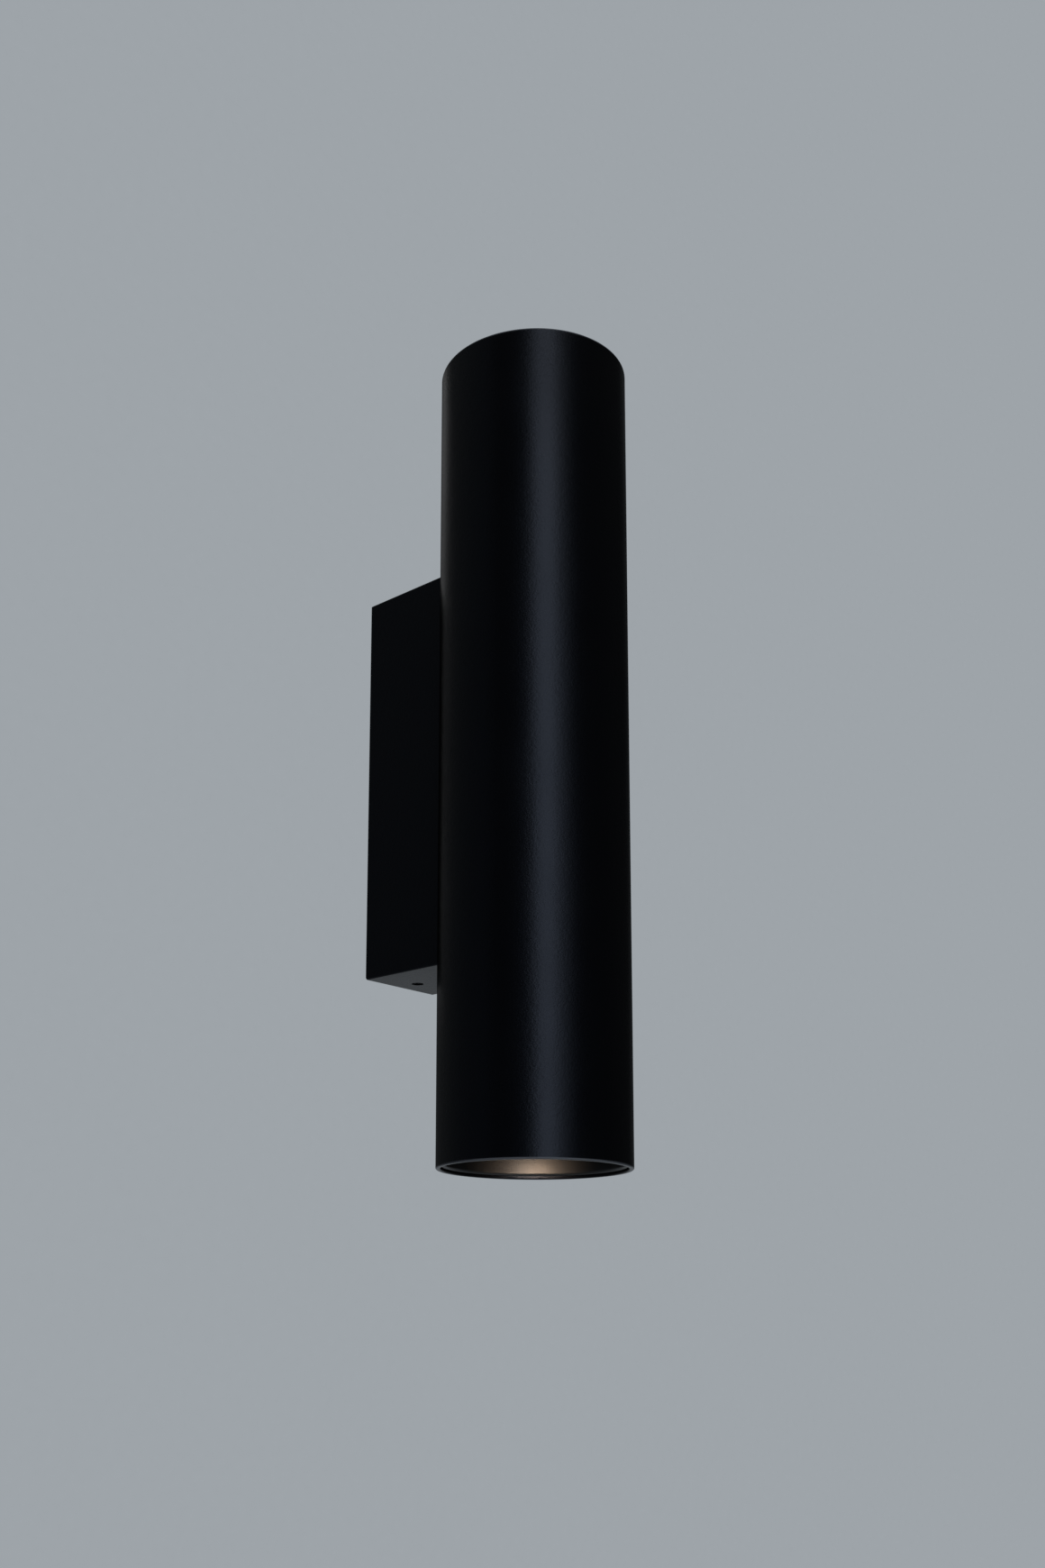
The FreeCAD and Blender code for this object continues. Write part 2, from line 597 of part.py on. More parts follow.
def lampholder():
    """The ceramic lampholder, with a chamber under its bayonet face."""
    foot = TUBE_CENTRE + Z * HOLDER_FOOT
    body = rod(HOLDER_DIAMETER, foot, TUBE_CENTRE + Z * HOLDER_FACE)
    cuts = [
        rod(HOLDER_CHAMBER_DIAMETER, TUBE_CENTRE + Z * CHAMBER_FLOOR, TUBE_CENTRE + Z * CHAMBER_ROOF),
        rod(HOLDER_POCKET_DIAMETER, foot, TUBE_CENTRE + Z * POCKET_ROOF),
    ]
    for angle in pin_places():
        cuts.append(keyhole(angle))
        cuts.append(contact_blade(angle, CONTACT_PLAY, POCKET_ROOF, CHAMBER_FLOOR))
    for y in holder_screw_ys():
        hole = HOLDER_SCREW_DIAMETER + FIXING_CLEARANCE
        cuts.append(rod(hole, at(0, y, HOLDER_FOOT), at(0, y, HOLDER_FACE)))
        well = HOLDER_FACE - HOLDER_COUNTERBORE_DEPTH
        cuts.append(rod(HOLDER_COUNTERBORE_DIAMETER, at(0, y, well), at(0, y, HOLDER_FACE)))
    return body.cut(cuts)


def contact_blade(angle, play, low, high):
    """The upright blade of a contact, or the slot for it if it has play."""
    middle = PIN_SPACING / 2
    thick = CONTACT_THICKNESS / 2 + play
    wide = CONTACT_BLADE_WIDTH + 2 * play
    blade = block((middle - thick, middle + thick), across(wide), (low, high))
    blade.translate(TUBE_CENTRE)
    return turned_about(blade, TUBE_CENTRE, Z, angle)


def holder_contacts():
    """The two contacts on the floor of the lampholder's chamber, each with a blade into the pocket."""
    contacts = []
    top = CHAMBER_FLOOR + CONTACT_THICKNESS
    middle = PIN_SPACING / 2
    for angle in pin_places():
        reach = (middle - CONTACT_LENGTH / 2, middle + CONTACT_LENGTH / 2)
        plate = block(reach, across(CONTACT_WIDTH), (CHAMBER_FLOOR, top))
        plate.translate(TUBE_CENTRE)
        plate = turned_about(plate, TUBE_CENTRE, Z, angle)
        contacts.append(joined([plate, contact_blade(angle, 0, CONTACT_FOOT, top)]))
    return Part.makeCompound(contacts)


def holder_screws():
    """The two screws that hold the lampholder on its bracket."""
    screws = []
    seat = HOLDER_FACE - HOLDER_COUNTERBORE_DEPTH
    tip = BRACKET_FLANGE_HEIGHT - HOLDER_NUT_HEIGHT
    for y in holder_screw_ys():
        head = rod(HOLDER_HEAD_DIAMETER, at(0, y, seat), at(0, y, seat + HOLDER_HEAD_HEIGHT))
        screws.append(joined([head, rod(HOLDER_SCREW_DIAMETER, at(0, y, tip), at(0, y, seat))]))
    return Part.makeCompound(screws)


def holder_nuts():
    """The nuts of those screws, under the bracket's flange."""
    nuts = []
    high = BRACKET_FLANGE_HEIGHT
    low = high - HOLDER_NUT_HEIGHT
    for y in holder_screw_ys():
        nut = hexagon_bar(HOLDER_NUT_FLATS, at(0, y, low), at(0, y, high))
        nuts.append(nut.cut(rod(HOLDER_SCREW_DIAMETER, at(0, y, low), at(0, y, high))))
    return Part.makeCompound(nuts)


def lamp_base():
    """The lamp's moulded base, which rests on the lampholder and carries the pins."""
    return turned(
        (0, LAMP_FOOT),
        (LAMP_BASE_DIAMETER / 2, LAMP_FOOT),
        (LAMP_BASE_DIAMETER / 2, LAMP_FOOT + LAMP_BASE_HEIGHT),
        (LAMP_NECK_DIAMETER / 2, LAMP_FOOT + LAMP_BASE_HEIGHT),
        (LAMP_NECK_DIAMETER / 2, LAMP_FOOT + LAMP_NECK_HEIGHT),
        (0, LAMP_FOOT + LAMP_NECK_HEIGHT),
    )


def lamp_body():
    """The lamp's bowl, from the neck out to its front rim, with a seat for the lens."""
    lens_seat = LAMP_FACE - LENS_SUNK - LENS_THICKNESS
    return turned(
        (0, LAMP_FOOT + LAMP_NECK_HEIGHT),
        (LAMP_NECK_DIAMETER / 2, LAMP_FOOT + LAMP_NECK_HEIGHT),
        (LAMP_SHOULDER_DIAMETER / 2, LAMP_FOOT + LAMP_SHOULDER_HEIGHT),
        (LAMP_DIAMETER / 2, LAMP_FACE - LAMP_RIM_HEIGHT),
        (LAMP_DIAMETER / 2, LAMP_FACE),
        (LENS_DIAMETER / 2, LAMP_FACE),
        (LENS_DIAMETER / 2, lens_seat),
        (0, lens_seat),
    )


def lamp_lens():
    """The lens in the lamp's front, a plain disc."""
    face = TUBE_CENTRE + Z * (LAMP_FACE - LENS_SUNK)
    return rod(LENS_DIAMETER, face - Z * LENS_THICKNESS, face)


def lamp_pins():
    """The lamp's two bayonet pins, with heads that turn under the lampholder's lip."""
    pins = []
    head_top = CHAMBER_ROOF - PART_GAP
    for angle in pin_places():
        tip = around_axis(angle, PIN_SPACING / 2, head_top - PIN_HEAD_LENGTH)
        shoulder = around_axis(angle, PIN_SPACING / 2, head_top)
        root = around_axis(angle, PIN_SPACING / 2, LAMP_FOOT)
        pins.append(joined([rod(PIN_HEAD_DIAMETER, tip, shoulder), rod(PIN_NECK_DIAMETER, shoulder, root)]))
    return Part.makeCompound(pins)


def baffle():
    """The anti-glare baffle. Slits part its skirt into tongues that grip the tube."""
    outer = TUBE_BORE_RADIUS - BAFFLE_FIT
    skirt_inner = outer - BAFFLE_SKIRT_WALL
    mouth = BAFFLE_MOUTH_DIAMETER / 2
    throat = BAFFLE_THROAT_DIAMETER / 2
    slope = (mouth - throat) / BAFFLE_CONE_HEIGHT
    skirt_foot = BAFFLE_TOP - BAFFLE_SKIRT_HEIGHT
    cone_back = throat + BAFFLE_CONE_WALL
    meeting = BAFFLE_FOOT + (skirt_inner - cone_back) / slope
    body = turned(
        (mouth, BAFFLE_FOOT + BAFFLE_CONE_HEIGHT),
        (mouth, BAFFLE_TOP),
        (outer, BAFFLE_TOP),
        (outer, skirt_foot),
        (skirt_inner, skirt_foot),
        (skirt_inner, meeting),
        (cone_back, BAFFLE_FOOT),
        (throat, BAFFLE_FOOT),
    )
    slit_reach = (TUBE_Y + skirt_inner - SEAT_GAP, TUBE_Y + TUBE_RADIUS)
    slit = block(across(BAFFLE_SLIT), slit_reach, (skirt_foot, skirt_foot + BAFFLE_SLIT_HEIGHT))
    slits = []
    for tongue in range(BAFFLE_TONGUES):
        for side in across(BAFFLE_TONGUE_ANGLE):
            turn = FULL_TURN * tongue / BAFFLE_TONGUES + side
            slits.append(turned_about(slit, TUBE_CENTRE, Z, turn))
    return body.cut(slits)


def export(pieces):
    """Writes each piece to its own file."""
    os.makedirs("parts", exist_ok=True)
    for name, shape in pieces.items():
        shape.exportStep("parts/" + name + ".step")


def main():
    """Makes the pieces that occur once, then those that occur at both ends of the tube."""
    pieces = {
        "wall_plate": wall_plate(),
        "cable_grommet": cable_grommet(),
        "mount_box": mount_box(),
        "retaining_screws": retaining_screws(),
        "tube_body": tube_body(),
        "fixing_screws": fixing_screws(),
        "fixing_washers": fixing_washers(),
        "wire_bush": wire_bush(),
        "terminal_block": terminal_block(),
        "terminal_screw": terminal_screw(),
        "earth_tag": earth_tag(),
        "earth_wire": earth_wire(),
        "lower_leads": lamp_leads(-1, row_ys()[0]),
        "upper_leads": lamp_leads(1, row_ys()[1]),
    }
    repeated = {
        "holder_bracket": holder_bracket(),
        "lampholder": lampholder(),
        "holder_contacts": holder_contacts(),
        "holder_screws": holder_screws(),
        "holder_nuts": holder_nuts(),
        "lamp_base": lamp_base(),
        "lamp_body": lamp_body(),
        "lamp_lens": lamp_lens(),
        "lamp_pins": lamp_pins(),
        "baffle": baffle(),
    }
    for name, shape in repeated.items():
        pieces["upper_" + name] = shape
        pieces["lower_" + name] = at_lower_end(shape)
    export(pieces)


main()
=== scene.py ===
import json
import math

import bmesh
import bpy
from bpy.props import FloatProperty, FloatVectorProperty, IntProperty, PointerProperty
from mathutils import Matrix, Vector


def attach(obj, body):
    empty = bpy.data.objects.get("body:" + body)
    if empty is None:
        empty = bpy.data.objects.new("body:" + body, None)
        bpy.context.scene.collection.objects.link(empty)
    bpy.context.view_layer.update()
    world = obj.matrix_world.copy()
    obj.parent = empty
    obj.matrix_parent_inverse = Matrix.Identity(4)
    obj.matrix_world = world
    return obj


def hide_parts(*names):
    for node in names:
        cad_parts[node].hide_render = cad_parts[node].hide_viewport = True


bl_info = {
    "name": "Tube wall light",
    "version": (1, 0, 0),
    "blender": (4, 5, 0),
    "location": "View3D > Sidebar > Wall light",
    "description": "An up-and-down tube wall light with its mount, wiring, lamps and baffles",
    "category": "Object",
}

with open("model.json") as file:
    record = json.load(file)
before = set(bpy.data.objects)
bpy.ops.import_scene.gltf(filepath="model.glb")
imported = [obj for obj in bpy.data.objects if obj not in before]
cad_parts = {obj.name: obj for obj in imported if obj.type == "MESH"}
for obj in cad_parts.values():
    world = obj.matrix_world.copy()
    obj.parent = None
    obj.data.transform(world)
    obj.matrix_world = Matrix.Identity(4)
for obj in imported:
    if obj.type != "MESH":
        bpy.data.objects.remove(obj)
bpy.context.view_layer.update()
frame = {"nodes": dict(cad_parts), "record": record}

# The wall is the plane Y = 0, the light stands out towards -Y and +Z is up. All sizes are metres.
MM = 0.001
TUBE_Y = -58.5 * MM
LAND_Y = -25.7 * MM  # flat land inside the mount box
BUSH_Z = 24 * MM
FIXING_Z = 44 * MM
LAMP_FOOT = 52.8 * MM
LAMP_FACE = 102.8 * MM
BAFFLE_FOOT = 103.1 * MM
BAFFLE_TOP = 129 * MM
MOUTH_LIGHT_Z = 129.8 * MM
FLANGE_Z = 33 * MM  # inner face of a lampholder bracket
HOLDER_FACE = 52.5 * MM
CABLE_Z = -24 * MM
FULL_TURN = 2 * math.pi
HALF_TURN_Y = Matrix.Rotation(math.pi, 4, "Y")
ON_TUBE_AXIS = Matrix.Translation((0, TUBE_Y, 0))
Z_TO_MINUS_Y = Matrix.Rotation(math.pi / 2, 4, "X")
SHARP_ANGLE = math.radians(32)
SEAM = 0.004 * MM  # distance at which a wrapped grid's seam is merged
TINY = 0.001 * MM  # distance at which points of a finished mesh are the same
SHANK_SINK = 0.05 * MM  # how far a screw's shank goes into its head
THREAD_DEPTH = 0.54  # of the pitch
THREAD_ROWS = 6  # of points in each pitch
TIP_TAPER = 0.8


# ---------------------------------------------------------------- node sheets

class Value:
    """An output of a node, which takes part in sums and adds the Math nodes that they need."""

    def __init__(self, sheet, socket):
        self.sheet = sheet
        self.socket = socket

    def sum(self, operation, *values):
        return self.sheet.shader("Math", {"operation": operation}, values)

    def __neg__(self):
        return self * -1

    def between(self, low, high):
        return self.highest(low).lowest(high)

    def rise(self, low, high):
        """0 below low, 1 above high, and a smooth step between them."""
        settings = {"interpolation_type": "SMOOTHSTEP"}
        return self.sheet.shader("MapRange", settings, {"Value": self, "From Min": low, "From Max": high})

    def parts(self):
        """The X, Y and Z of a vector."""
        split = self.sheet.shader("SeparateXYZ", {}, [self]).socket.node
        return [Value(self.sheet, output) for output in split.outputs]


def math_node(operation, swapped=False):
    """A method of Value that adds a Math node, with the value itself as the first or the last input."""

    def method(self, *others):
        return self.sum(operation, *((*others, self) if swapped else (self, *others)))

    return method


for method_name, node_operation in {
    "__add__": "ADD", "__sub__": "SUBTRACT", "__mul__": "MULTIPLY", "__truediv__": "DIVIDE",
    "__pow__": "POWER", "__mod__": "MODULO", "__abs__": "ABSOLUTE", "__gt__": "GREATER_THAN",
    "__lt__": "LESS_THAN", "floor": "FLOOR", "ceil": "CEIL", "fraction": "FRACT",
    "sine": "SINE", "cosine": "COSINE", "lowest": "MINIMUM", "highest": "MAXIMUM",
}.items():
    setattr(Value, method_name, math_node(node_operation))
    if node_operation in ("ADD", "SUBTRACT", "MULTIPLY", "DIVIDE"):
        setattr(Value, method_name.replace("__", "__r", 1), math_node(node_operation, True))


class Sheet:
    """A node tree that is written as Python expressions."""

    def __init__(self, tree):
        self.tree = tree

    def node(self, kind, settings=None, inputs=(), output=0):
        """Adds a node: its settings first, then the values or links of its sockets."""
        made = self.tree.nodes.new(kind)
        for name, value in (settings or {}).items():
            if name == "stops":
                self.set_stops(made.color_ramp, value)
            else:
                setattr(made, name, value)
        pairs = inputs.items() if isinstance(inputs, dict) else enumerate(inputs)
        for key, value in pairs:
            many = isinstance(value, list) and isinstance(value[0], Value)
            for one in value if many else [value]:
                self.plug(made.inputs[key], one)
        return Value(self, made.outputs[output])

    def shader(self, kind, *rest):
        return self.node("ShaderNode" + kind, *rest)

    def geo(self, kind, *rest):
        return self.node("GeometryNode" + kind, *rest)

    def plug(self, socket, value):
        if isinstance(value, Value):
            self.tree.links.new(value.socket, socket)
        else:
            socket.default_value = value

    def set_stops(self, ramp, stops):
        while len(ramp.elements) < len(stops):
            ramp.elements.new(1.0)
        for element, (position, colour) in zip(ramp.elements, stops):
            element.position = position
            element.color = colour

    def vector(self, x, y, z):
        return self.shader("CombineXYZ", {}, [x, y, z])


# ---------------------------------------------------------------- finishes

class Finish(Sheet):
    """A material whose patterns read the object's own coordinates, in metres."""

    def __init__(self, name, constants):
        self.material = bpy.data.materials.new(name)
        self.material.use_nodes = True
        super().__init__(self.material.node_tree)
        self.surface = self.tree.nodes["Principled BSDF"]
        for socket, value in constants.items():
            self.surface.inputs[socket].default_value = value
        self.place = self.shader("TexCoord", {}, (), "Object")

    def paint(self, sockets):
        for name, value in sockets.items():
            self.plug(self.surface.inputs[name], value)

    def fed(self, name):
        """What a socket of the first shader is fed."""
        return Value(self, self.surface.inputs[name].links[0].from_socket)

    def first(self):
        """What the material's first shader gives."""
        return Value(self, self.surface.outputs["BSDF"])

    def show(self, shader):
        """Makes another shader the one that is seen."""
        self.plug(self.tree.nodes["Material Output"].inputs["Surface"], shader)

    def facing(self):
        """0 where a face looks at the eye, 1 where it is seen edge on."""
        return self.shader("LayerWeight", {}, {"Blend": 0.5}, "Facing")

    def stretched(self, scale):
        return self.shader("Mapping", {}, {"Vector": self.place, "Scale": scale})

    def noise(self, size, detail=2.0, stretch=(1, 1, 1)):
        """Noise from 0 to 1 whose features are about size metres across."""
        settings = {"noise_dimensions": "3D"}
        where = self.stretched(stretch)
        inputs = {"Vector": where, "Scale": 1 / size, "Detail": detail}
        return self.shader("TexNoise", settings, inputs)

    def cells(self, size):
        """Distance to the nearest of scattered points that are about size metres apart."""
        return self.shader("TexVoronoi", {}, {"Vector": self.place, "Scale": 1 / size}, "Distance")

    def mix(self, factor, first, second):
        settings = {"data_type": "RGBA"}
        return self.shader("Mix", settings, {0: factor, 6: first, 7: second}, 2)

    def raised(self, height, depth, strength=1.0):
        """A surface normal from a height between 0 and 1, depth metres deep."""
        inputs = {"Height": height, "Distance": depth, "Strength": strength}
        return self.shader("Bump", {}, inputs)


def distance(x, y):
    return (x * x + y * y) ** 0.5


def shade(colour, factor):
    """A colour made lighter or darker, with its alpha."""
    return [min(1.0, channel * factor) for channel in colour[:3]] + [1.0]


def satin_coat(name, coated, grain_depth):
    """Powder coat: a fine grain over a faint orange peel, with cloudy changes of sheen."""
    colour = coated.coat
    finish = Finish(name, {"Specular IOR Level": coated.gloss, "Specular Tint": coated.tint})
    grain = finish.noise(0.55 * MM, 3.0)
    peel = finish.noise(1.8 * MM, 1.0)
    cloud = finish.noise(28 * MM, 3.0)
    speck = finish.cells(0.7 * MM).rise(0.16, 0.02)
    finish.paint({
        "Base Color": finish.mix(cloud * 0.5 + grain * 0.5, shade(colour, 0.72), shade(colour, 1.35)),
        "Roughness": coated.roughness + (cloud - 0.5) * 0.10 + (grain - 0.5) * 0.08,
        "Normal": finish.raised(grain * 0.55 + peel * 0.35 + speck * 0.1, grain_depth),
    })
    return finish


def fading_coat(name, tube, grain_depth):
    """Powder coat that loses its sheen on upright faces seen at a grazing angle. Its outer rims are painted
    paler: a painted highlight for the light that the rounded rims catch from below.
    """
    finish = satin_coat(name, tube, grain_depth)
    matte = finish.shader("BsdfPrincipled", {}, {
        "Base Color": tube.coat, "Roughness": 1.0, "Specular IOR Level": 0.0})
    _, _, lean = finish.shader("NewGeometry", {}, (), "Normal").parts()
    share = finish.facing().rise(0.0, 0.8) * (1 - abs(lean)) * tube.fade
    x, y, z = finish.place.parts()
    radius = distance(x, y - TUBE_Y)
    # Painted highlight: the outer rounding and face of each rim get a paler colour, standing in for the light
    # that they catch from below.
    edge = abs(z).rise(129.3 * MM, 129.7 * MM) * radius.rise(28.9 * MM, 29.3 * MM)
    finish.paint({"Base Color": finish.mix(edge, finish.fed("Base Color"), tube.rim)})
    finish.show(finish.shader("MixShader", {}, [share, finish.first(), matte]))
    return finish.material


def zinc_sheet(name, colour):
    """Zinc-plated rolled steel: fine lines along the sheet and a cloudy passivated bloom."""
    finish = Finish(name, {"Metallic": 1.0})
    lines = finish.noise(0.25 * MM, 4.0, (1, 1, 0.03))
    bloom = finish.noise(9 * MM, 4.0)
    warm = [colour[0] * 1.0, colour[1] * 0.97, colour[2] * 0.88, 1.0]
    finish.paint({
        "Base Color": finish.mix(bloom.rise(0.35, 0.7), shade(colour, 0.92), warm),
        "Roughness": 0.30 + lines * 0.14 + bloom * 0.10,
        "Normal": finish.raised(lines, 0.008 * MM, 0.5),
    })
    return finish.material


def plated_steel(name, colour, roughness):
    """Bright plated screws: a fine crystalline grain and darker, rougher hollows."""
    finish = Finish(name, {"Metallic": 1.0})
    grain = finish.noise(0.12 * MM, 3.0)
    bloom = finish.noise(2.5 * MM, 3.0)
    finish.paint({
        "Base Color": finish.mix(bloom, shade(colour, 0.78), shade(colour, 1.08)),
        "Roughness": roughness + (bloom - 0.5) * 0.16 + grain * 0.06,
        "Normal": finish.raised(grain, 0.006 * MM, 0.6),
    })
    return finish.material


def moulded(name, colour, roughness, depth, texture=0.4 * MM):
    """A moulded plastic or rubber: a spark-eroded texture and faint flow marks."""
    finish = Finish(name, {})
    texture_height = finish.noise(texture, 2.0)
    flow = finish.noise(7 * MM, 2.0, (1, 1, 0.35))
    finish.paint({
        "Base Color": finish.mix(flow, shade(colour, 0.93), shade(colour, 1.05)),
        "Roughness": roughness + (flow - 0.5) * 0.12 + (texture_height - 0.5) * 0.08,
        "Normal": finish.raised(texture_height, depth, 0.7),
    })
    return finish.material


def ceramic(name, colour):
    """Pressed steatite: a dry glaze with small grey and tan specks."""
    finish = Finish(name, {"Coat Roughness": 0.25})
    grain = finish.noise(0.5 * MM, 4.0)
    bloom = finish.noise(6 * MM, 3.0)
    specks = finish.cells(1.4 * MM).rise(0.14, 0.06)
    body = finish.mix(bloom, shade(colour, 0.95), shade(colour, 1.04))
    finish.paint({
        "Base Color": finish.mix(specks * 0.35, body, (0.42, 0.36, 0.28, 1.0)),
        "Roughness": 0.42 + (grain - 0.5) * 0.2,
        "Coat Weight": 0.18 + bloom * 0.2,
        "Normal": finish.raised(grain, 0.02 * MM, 0.6),
    })
    return finish.material


def braided_sleeve(name, colour):
    """Woven glass sleeve: two sets of slanted strands that cross, with worn fuzz between them."""
    finish = Finish(name, {"Sheen Weight": 0.25})
    x, y, z = finish.place.parts()
    pitch = FULL_TURN / (0.9 * MM)
    slope = (z - y) * pitch
    left = (slope + x * pitch).sine()
    right = (slope - x * pitch).sine()
    weave = left.highest(right) * 0.5 + 0.5
    fuzz = finish.noise(0.2 * MM, 3.0)
    finish.paint({
        "Base Color": finish.mix(weave * 0.7 + fuzz * 0.3, shade(colour, 0.6), colour),
        "Roughness": 0.72 + (fuzz - 0.5) * 0.2,
        "Normal": finish.raised(weave * 0.8 + fuzz * 0.2, 0.12 * MM),
    })
    return finish.material


def striped_wire(name, green, yellow, start, end):
    """Earth wire insulation, half green and half yellow along its length."""
    finish = Finish(name, {})
    x, _, z = finish.place.parts()
    middle = start[0] + (z - start[2]) * ((end[0] - start[0]) / (end[2] - start[2]))
    skin = finish.noise(0.5 * MM, 2.0)
    side = (x - middle + (skin - 0.5) * 0.05 * MM).rise(-0.05 * MM, 0.05 * MM)
    finish.paint({
        "Base Color": finish.mix(side, yellow, green),
        "Roughness": 0.38 + (skin - 0.5) * 0.14,
        "Normal": finish.raised(skin, 0.01 * MM, 0.5),
    })
    return finish.material


def lit_lens(name, colour, lamp):
    """Frosted lens of a reflector lamp, which is bright from the front and dim from the side."""
    finish = Finish(name, {"Emission Strength": lamp.strength, "IOR": 1.58})
    x, y, _ = finish.place.parts()
    across = y - TUBE_Y
    ripple = lattice(x, across, lamp.pebble_pitch)
    core = distance(x, across).rise(21 * MM, 6 * MM)
    frost = finish.noise(0.4 * MM, 2.0)
    heat = (core * 0.75 + ripple.rise(-0.4, 1.0) * 0.25) * finish.facing().rise(0.55, 0.1)
    finish.paint({
        "Base Color": finish.mix(ripple * 0.5 + 0.5, shade(colour, 0.85), colour),
        "Emission Color": finish.mix(heat, shade(lamp.glow, 0.03), lamp.glow),
        "Roughness": 0.28 + frost * 0.12,
        "Normal": finish.raised(frost, 0.01 * MM, 0.4),
    })
    return finish.material


def lattice(x, y, pitch):
    """A honeycomb of rounded peaks, from -0.5 between them to 1 on them."""
    wave = FULL_TURN * 2 / math.sqrt(3) / pitch
    total = (x * wave).cosine()
    for turn in (1, 2):
        angle = turn * math.pi / 3
        total = total + ((x * math.cos(angle) + y * math.sin(angle)) * wave).cosine()
    return total / 3


# ---------------------------------------------------------------- growing meshes

class Grower(Sheet):
    """A geometry tree with named inputs, which ends in Realize Instances and Set Material."""

    def __init__(self, name):
        super().__init__(bpy.data.node_groups.new(name, "GeometryNodeTree"))
        self.tree.interface.new_socket("Geometry", in_out="OUTPUT", socket_type="NodeSocketGeometry")
        self.entry = self.tree.nodes.new("NodeGroupInput")
        self.outline = self.ask("Outline", "NodeSocketGeometry")
        self.finish = self.ask("Finish", "NodeSocketMaterial")
        self.spot = self.geo("InputPosition")
        self.index = self.geo("InputIndex")

    def ask(self, name, kind="NodeSocketFloat"):
        """An input of the tree."""
        self.tree.interface.new_socket(name, in_out="INPUT", socket_type=kind)
        return Value(self, self.entry.outputs[name])

    def whole(self, name):
        return self.ask(name, "NodeSocketInt")

    def close(self, shape):
        real = self.geo("RealizeInstances", {}, [shape])
        painted = self.geo("SetMaterial", {}, {"Geometry": real, "Material": self.finish})
        leave = self.tree.nodes.new("NodeGroupOutput")
        self.tree.links.new(painted.socket, leave.inputs[0])
        return self.tree

    def moved(self, shape, place=(0, 0, 0), turn=(0, 0, 0)):
        inputs = {"Geometry": shape, "Translation": place, "Rotation": turn}
        return self.geo("Transform", {}, inputs)

    def placed(self, shape, position):
        return self.geo("SetPosition", {}, {"Geometry": shape, "Position": position})

    def net(self, segments, rows):
        """A grid to be wrapped round an axis, with each point's row and its share of a turn."""
        grid = self.geo("MeshGrid", {}, {"Vertices X": segments + 1, "Vertices Y": rows})
        row = self.index % rows
        turn = ((self.index + 0.5) / rows).floor() / segments
        return grid, row, turn

    def wrapped(self, grid, radius, turn, height):
        """Closes a grid round the axis, with its seam and its poles merged."""
        angle = turn * FULL_TURN
        round_axis = self.vector(radius * angle.cosine(), radius * angle.sine(), height)
        merge = {"Geometry": self.placed(grid, round_axis), "Distance": SEAM}
        return self.geo("MergeByDistance", {}, merge)

    def turned(self, segments, change=None):
        """The input's outline of (radius, 0, height) points, turned about the axis."""
        rows = self.geo("AttributeDomainSize", {"component": "MESH"}, [self.outline])
        grid, row, turn = self.net(segments, rows)
        sample = {"Geometry": self.outline, "Value": self.spot, "Index": row + 0.25}  # safe to round
        settings = {"data_type": "FLOAT_VECTOR", "domain": "POINT"}
        radius, _, height = self.geo("SampleIndex", settings, sample).parts()
        if change:
            radius = change(radius, turn, height)
        return self.wrapped(grid, radius, turn, height)

    def bar(self, radius, depth, sides):
        """A round or many-sided bar along Z, centred."""
        inputs = {"Vertices": sides, "Radius": radius, "Depth": depth}
        return self.geo("MeshCylinder", {}, inputs)

    def cut(self, shape, cutters, operation="DIFFERENCE"):
        settings = {"operation": operation, "solver": "MANIFOLD"}
        if operation == "DIFFERENCE":
            return self.geo("MeshBoolean", settings, {"Mesh 1": shape, "Mesh 2": cutters})
        return self.geo("MeshBoolean", settings, {"Mesh 2": [shape, *cutters]})

    def repeated(self, shape, count, turn):
        """Copies of a shape about the axis, each turned by an angle that may depend on its index."""
        points = self.geo("Points", {}, {"Count": count})
        spin = self.vector(0.0, 0.0, turn)
        inputs = {"Points": points, "Instance": shape, "Rotation": spin}
        return self.geo("InstanceOnPoints", {}, inputs)


def turning_tree():
    """A plain turned piece."""
    tree = Grower("turned_piece")
    return tree.close(tree.turned(tree.whole("Segments")))


def tube_tree():
    """The tube, turned and then bored for two fixing screws and the wire bush."""
    tree = Grower("bored_tube")
    tube = tree.turned(tree.whole("Segments"))
    radius = tree.ask("Radius")
    screw = tree.ask("Screw Hole")
    holes = ((screw, "Screw Height"), (screw, "Lower Height"), (tree.ask("Bush Hole"), "Bush Height"))
    drills = []
    for hole, height in holes:
        drill = tree.bar(hole / 2, radius, 48)
        drills.append(tree.moved(drill, tree.vector(0.0, radius, tree.ask(height)), (math.pi / 2, 0, 0)))
    return tree.close(tree.cut(tube, drills))


def baffle_tree():
    """The baffle: a turned sleeve with a cone and a skirt, slit so that each pair of slits frees a tongue."""
    tree = Grower("slit_baffle")
    cone = tree.turned(tree.whole("Segments"))
    tongues = tree.whole("Tongues")
    angle = tree.ask("Tongue Angle")
    size = tree.vector(tree.ask("Slit Width"), tree.ask("Slit Depth"), tree.ask("Slit Height"))
    slit = tree.geo("MeshCube", {}, [size])
    slit = tree.moved(slit, tree.vector(0.0, tree.ask("Slit Radius"), tree.ask("Slit Middle")))
    side = tree.index % 2 - 0.5
    turn = (tree.index / 2).floor() / tongues * FULL_TURN + side * angle
    slits = tree.repeated(slit, tongues * 2, turn)
    slits = tree.geo("RealizeInstances", {}, [slits])
    return tree.close(tree.cut(cone, [slits]))


def bowl_tree():
    """The lamp's bowl, turned, with cooling flutes let into its flank."""
    tree = Grower("fluted_bowl")
    flutes = tree.whole("Flutes")
    depth = tree.ask("Flute Depth")
    low = tree.ask("Flute Start")
    high = tree.ask("Flute End")

    def fluted(radius, turn, height):
        groove = (turn * flutes * FULL_TURN).cosine().rise(-0.2, 0.5)
        ease = (high - low) / 6
        flank = ((height - low) / ease).between(0, 1) * ((high - height) / ease).between(0, 1)
        return radius - depth * groove * flank

    return tree.close(tree.turned(tree.whole("Segments"), fluted))


